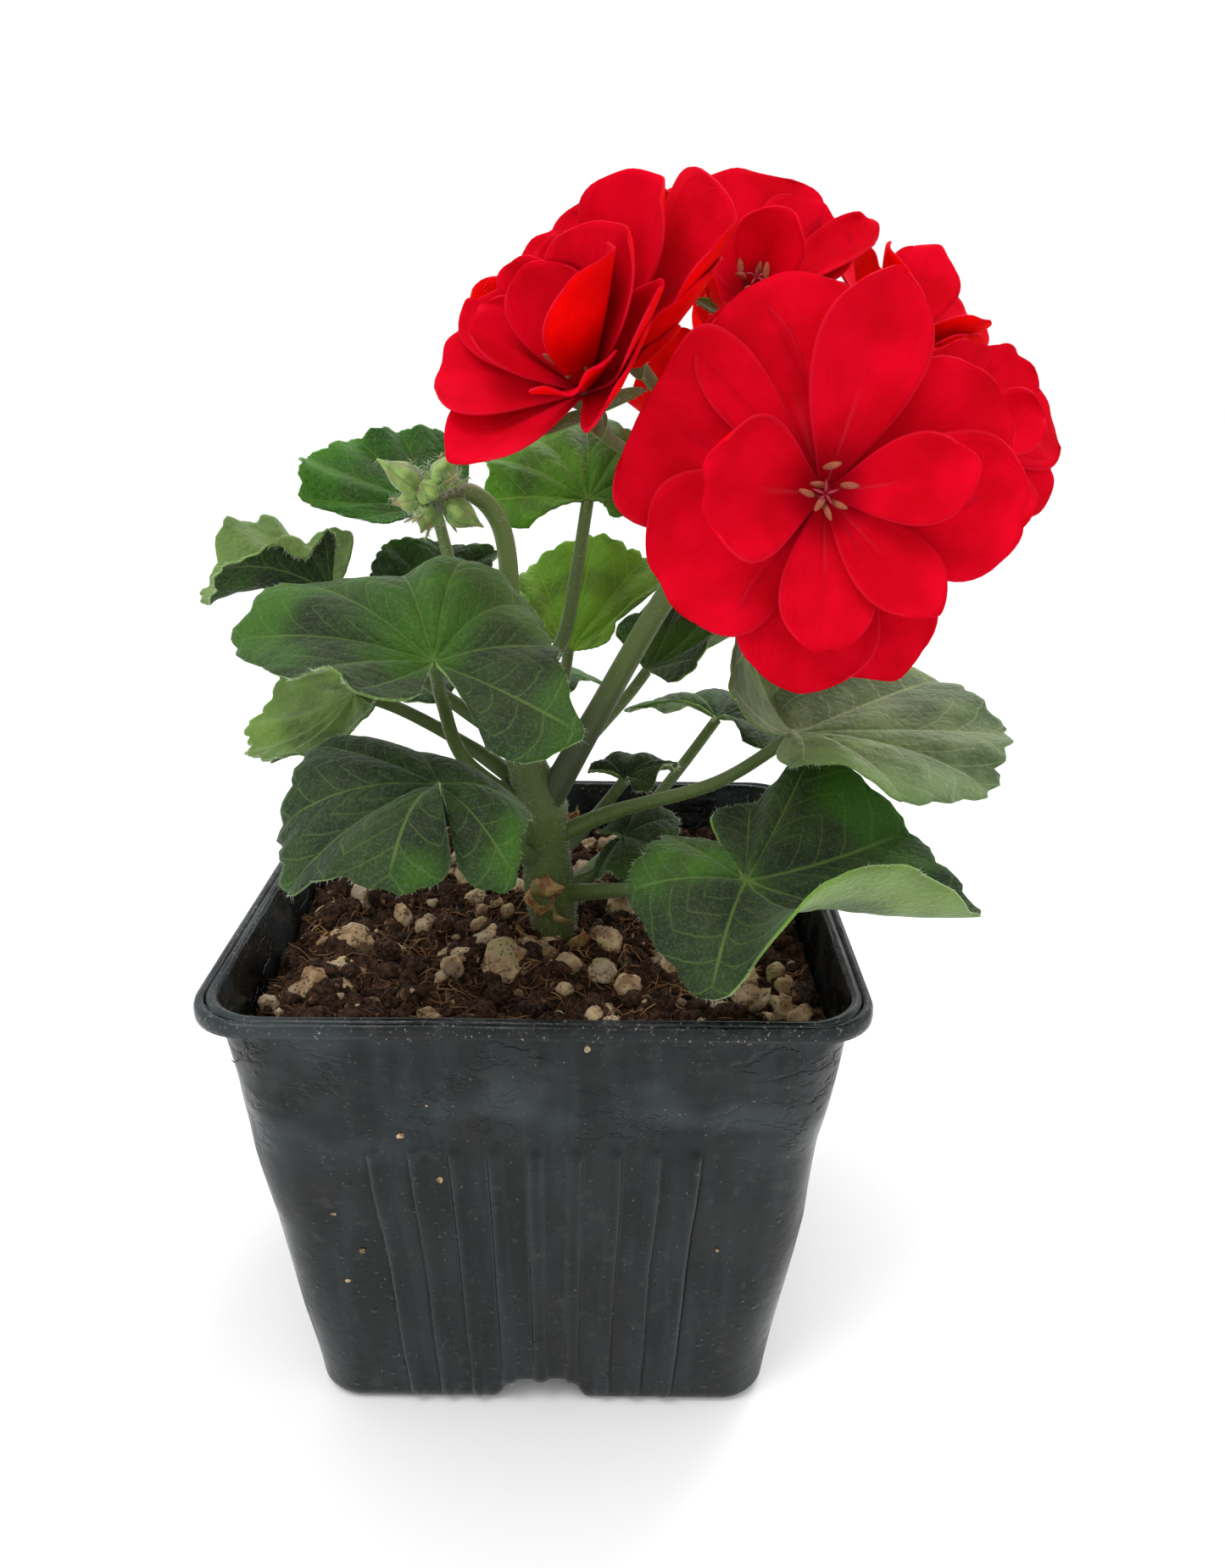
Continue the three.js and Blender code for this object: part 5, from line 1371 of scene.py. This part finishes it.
draw = np.random.default_rng(19)
for name, flower in florets.items():
    out, top, right = flower_axes(flower["face"])
    eye = np.array(flower["at"], float)
    threads, anthers = [], []
    for i in range(STAMENS):
        turn = 2 * math.pi * (i + 0.5 * draw.random()) / STAMENS
        side = spoke(top, right, turn)
        spread = draw.uniform(1.2, 4)
        tip = eye + out * (1.4 + FILAMENT * draw.uniform(0.75, 1.1)) + side * spread
        middle = eye + out * 3.2 + side * spread * 0.35
        threads.append(tube("filament", [eye + out * 0.8, middle, tip], FILAMENT_RADII, 6, 9))
        cross = np.cross(out, side) * draw.uniform(-1, 1) + side * draw.uniform(0.2, 1) + out * 0.5
        cross *= ANTHER_HALF / np.linalg.norm(cross)
        ends = [tip - cross, tip + out * 0.35, tip + cross]
        anthers.append(tube("anther", ends, ANTHER_RADII, 10, 10, ribs=2, ribbing=0.25))
    threads.append(tube("style", [eye + out, eye + out * 3, eye + out * 5.4], STYLE_RADII, 8, 8))
    for i in range(STYLE_LOBES):
        side = spoke(top, right, 2 * math.pi * i / STYLE_LOBES)
        lobe = [eye + out * 5.2, eye + out * 6.3 + side * 0.8, eye + out * 6 + side * 1.9]
        threads.append(tube("lobe", lobe, LOBE_RADII, 6, 7))
    for part in anthers + threads:
        part.data.materials.append(filament_red if part in threads else anther_brown)
    stamens = join(*anthers, *threads)
    stamens.name = stamens.data.name = f"{name}_stamens"
    settle(stamens, "anther_brown")
    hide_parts(f"stamens_{name}")

# The flower stalk: a green peduncle that darkens towards its foot, with a pedicel to each flower
# and five pointed sepals behind it, all hairy.

HUB = [33, -4, 158]
CALYX_DROP = 2.4
SEPALS = 5
SEPAL_REACH = 8
BUD_SEPAL_REACH = 11
OPEN_LEAN = 0.12  # how far the sepals turn forwards, in radians
BUD_LEAN = 1.15
SEPAL_THICKNESS = 0.3
PEDUNCLE_RADII = [2.6, 2.1, 1.9, 2.2]
PEDICEL_RADII = [1, 0.85, 0.85, 1.25]
UMBEL_HAIRS = 3200
UMBEL_HAIR_LENGTH = 0.75

stalk_green, shader, place = fleshy("stalk_green")
height = axis(place, "Z")
foot_shade = 1 - between(height, 0.112, 0.14)
stalk_colour = mixed(mottle(place, 7, 3, (1, 1, 0.3)), paint(68, 92, 34), paint(104, 130, 56))
stalk_colour = mixed(foot_shade * 0.8, stalk_colour, paint(40, 44, 22))
head_blush = between(height, 0.15, 0.165) * patches(place, 5, 2, 0.4, 0.6)
mixed(head_blush * 0.4, stalk_colour, paint(110, 62, 44)).into(shader, "Base Color")
emboss(mottle(place, 1, 3, (1, 1, 0.3)), 0.15, shader)

peduncle = [[0, -6.5, 103], [8.4, -7, 119], [21.6, -6.5, 142.7], HUB]
stalks = [tube("umbel_stalk", peduncle, PEDUNCLE_RADII, 16, 60)]


def calyx(base, face, reach, lean):
    """Five pointed sepals round a pedicel's end. lean turns them from flat to forward."""
    out, top, right = flower_axes(face)
    sepals = []
    for i in range(SEPALS):
        side = spoke(top, right, 2 * math.pi * i / SEPALS)
        round_way = np.cross(out, side)

        def shape(u, v):
            across = 2 * u - 1
            half = 0.19 * SEPAL_REACH * np.sin(3.14 * np.clip(0.18 + 0.82 * v, 0, 1)) ** 0.75
            tilt = lean * (1 - 0.35 * v)
            ahead, rise = reach * v * np.cos(tilt), reach * v * np.sin(tilt)
            rise = rise + 0.35 * half * (across**2 - 1) - 1.1 * (1 - v) ** 3
            points = np.outer(0.6 + ahead, side) + np.outer(rise, out) + np.outer(half * across, round_way)
            return base + points

        sepals.append(thicken(skin("sepal", 6, 12, shape), SEPAL_THICKNESS))
    return sepals


def pedicel(path):
    return tube("pedicel", path, PEDICEL_RADII, 10, 24)


bud_out = flower_axes(BUD_FACE)[0]
stalks.append(pedicel([HUB, [33.5, -10, 151], np.array(BUD_TOP) - 1.6 * bud_out]))
stalks += calyx(np.array(BUD_TOP), BUD_FACE, BUD_SEPAL_REACH, BUD_LEAN)
for flower in florets.values():
    out = flower_axes(flower["face"])[0]
    base = np.array(flower["at"]) - CALYX_DROP * out
    stalks.append(pedicel([HUB, base - 7 * out, base - 1 * out]))
    stalks += calyx(base, flower["face"], SEPAL_REACH, OPEN_LEAN)
umbel = join(*stalks)
settle(umbel, "stem_green", stalk_green)
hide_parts("flower_stalk")
draw = np.random.default_rng(23)
umbel_fur = fur(umbel, UMBEL_HAIRS, UMBEL_HAIR_LENGTH, draw)
fused("umbel_hairs", [umbel_fur], "stem_green", hair_white)

# The second head is still in bud: hairy green buds with blushed tips, each in its closed sepals,
# on a stalk that bends over.

BUD_HEAD = [-17, -10, 157]
BUDS = 7
BUD_LENGTH = 7
BUD_SEED = 4
BUD_RADII = [0.9, 1.7, 2.2, 2.3, 2.1, 1.6, 0.95, 0.4, 0.12]
BUD_HAIRS = 7000
BUD_HAIR_LENGTH = 1.7
GOLDEN_TURN = 137.5
BRACTS = 4
BRACT_SPREAD = 0.65
BRACT_REACH = 5.6
BRACT_THICKNESS = 0.2
BUD_STALK_RADII = [1.9, 1.7, 1.6, 1.5]

bud_green, shader, place = fleshy("bud_green", 0.3, 0.3)
chart = own_chart(place)
round_bud, along_bud = axis(chart, "X"), axis(chart, "Y")
seam = abs(round_bud.maths("FRACT", round_bud * 5) - 0.5)
bud_colour = mixed(patches(place, 3, 3, 0.35, 0.65), paint(84, 116, 40), paint(136, 166, 78))
bud_colour = mixed((1 - between(seam, 0.02, 0.14)) * 0.5, bud_colour, paint(66, 86, 40))
blush = between(along_bud, 0.35, 0.8) * patches(place, 2.5, 2, 0.5, 0.62)
mixed(blush * 0.5, bud_colour, paint(168, 108, 86)).into(shader, "Base Color")
emboss(mottle(place, 0.7, 3), 0.15, shader)

chance = seeded(BUD_SEED)
parts = []
lean = np.array([-0.75, -0.5, 0.4]) / np.linalg.norm([-0.75, -0.5, 0.4])
for i in range(BUDS):
    turn = math.radians(GOLDEN_TURN * i)
    tilt = 1 - 1.5 * (i + 0.5) / BUDS
    flat = math.sqrt(1 - tilt * tilt)
    heading = lean * tilt + np.array([flat * math.cos(turn), 0, flat * math.sin(turn)])
    length = BUD_LENGTH * (0.8 + 0.3 * next(chance))
    path = [np.array(BUD_HEAD) + heading * (share * length + 1) for share in (0.1, 0.4, 0.7, 1)]
    parts.append(tube("bud", path, BUD_RADII, 20, 22, ribs=5, ribbing=0.09))
    for bract in range(BRACTS):
        foot = np.array(BUD_HEAD) + heading * 0.9
        round_turn = 2 * math.pi * bract / BRACTS + turn
        away = heading + BRACT_SPREAD * np.array([math.sin(round_turn), 0.3, math.cos(round_turn)])
        reach = BRACT_REACH * (0.8 + 0.4 * ((3 * bract + i) % 4) / 3)
        parts.append(thicken(scale_leaf("bract", foot, away, reach, 0.42 * reach), BRACT_THICKNESS))
for part in parts:
    part.data.materials.append(bud_green)
stalk = [[-7, -2, 121], [-6, -2, 140], [-7.5, -2.5, 152], [-11.5, -5, 157], BUD_HEAD]
stalk = tube("bud_stalk", stalk, BUD_STALK_RADII, 14, 50)
stalk.data.materials.append(stalk_green)
heads = join(*parts, stalk)
heads.name = heads.data.name = "budding_head"
settle(heads, "stem_green")
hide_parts("bud_head")
bud_fur = fur(heads, BUD_HAIRS, BUD_HAIR_LENGTH, draw, lean=0.4)
fused("bud_hairs", [bud_fur], "stem_green", hair_white)

# A plain pale floor under a white sky with two soft lamps, and a camera close in front of the plant
# that looks down on it.

FLOOR_SIZE = 6
SKY_STRENGTH = 1.04

floor_white, shader, place = new_finish("floor_white", Roughness=0.9, Specular_IOR_Level=0.1)
mixed(mottle(place, 200, 1), paint(250, 250, 250), paint(253, 253, 253)).into(shader, "Base Color")
deselect()
bpy.ops.mesh.primitive_plane_add(size=FLOOR_SIZE)
floor = bpy.context.object
floor.name = "floor"
floor.data.materials.append(floor_white)

world = bpy.data.worlds.new("studio")
bpy.context.scene.world = world
world.use_nodes = True
sky = world.node_tree.nodes["Background"]
sky.inputs["Color"].default_value = (1, 1, 1, 1)
sky.inputs["Strength"].default_value = SKY_STRENGTH

LAMPS = [  # place, aim, size and power
    ((-0.3, -0.35, 0.9), (0, 0, 0.1), 0.4, 3),
    ((0.3, 0.5, 0.7), (0, 0, 0.12), 0.5, 3),
]
for place, aim, size, power in LAMPS:
    bpy.ops.object.light_add(type="AREA", location=place)
    lamp = bpy.context.object
    lamp.data.size = size
    lamp.data.energy = power
    lamp.rotation_mode = "QUATERNION"
    lamp.rotation_quaternion = (Vector(aim) - Vector(place)).to_track_quat("-Z", "Y")

CAMERA_PLACE = (11.8 * MM, -205.6 * MM, 182.2 * MM)
CAMERA_PITCH = 20.66
CAMERA_ROLL = 0.01
LENS = 27.63
bpy.ops.object.camera_add(location=CAMERA_PLACE)
camera = bpy.context.object
look = Matrix.Rotation(math.radians(90 - CAMERA_PITCH), 4, "X") @ Matrix.Rotation(CAMERA_ROLL, 4, "Z")
camera.rotation_euler = look.to_euler()
camera.data.lens = LENS
camera.data.sensor_width = 36
camera.data.clip_start = 0.01
bpy.context.scene.camera = camera
bpy.context.scene.view_settings.view_transform = "Standard"
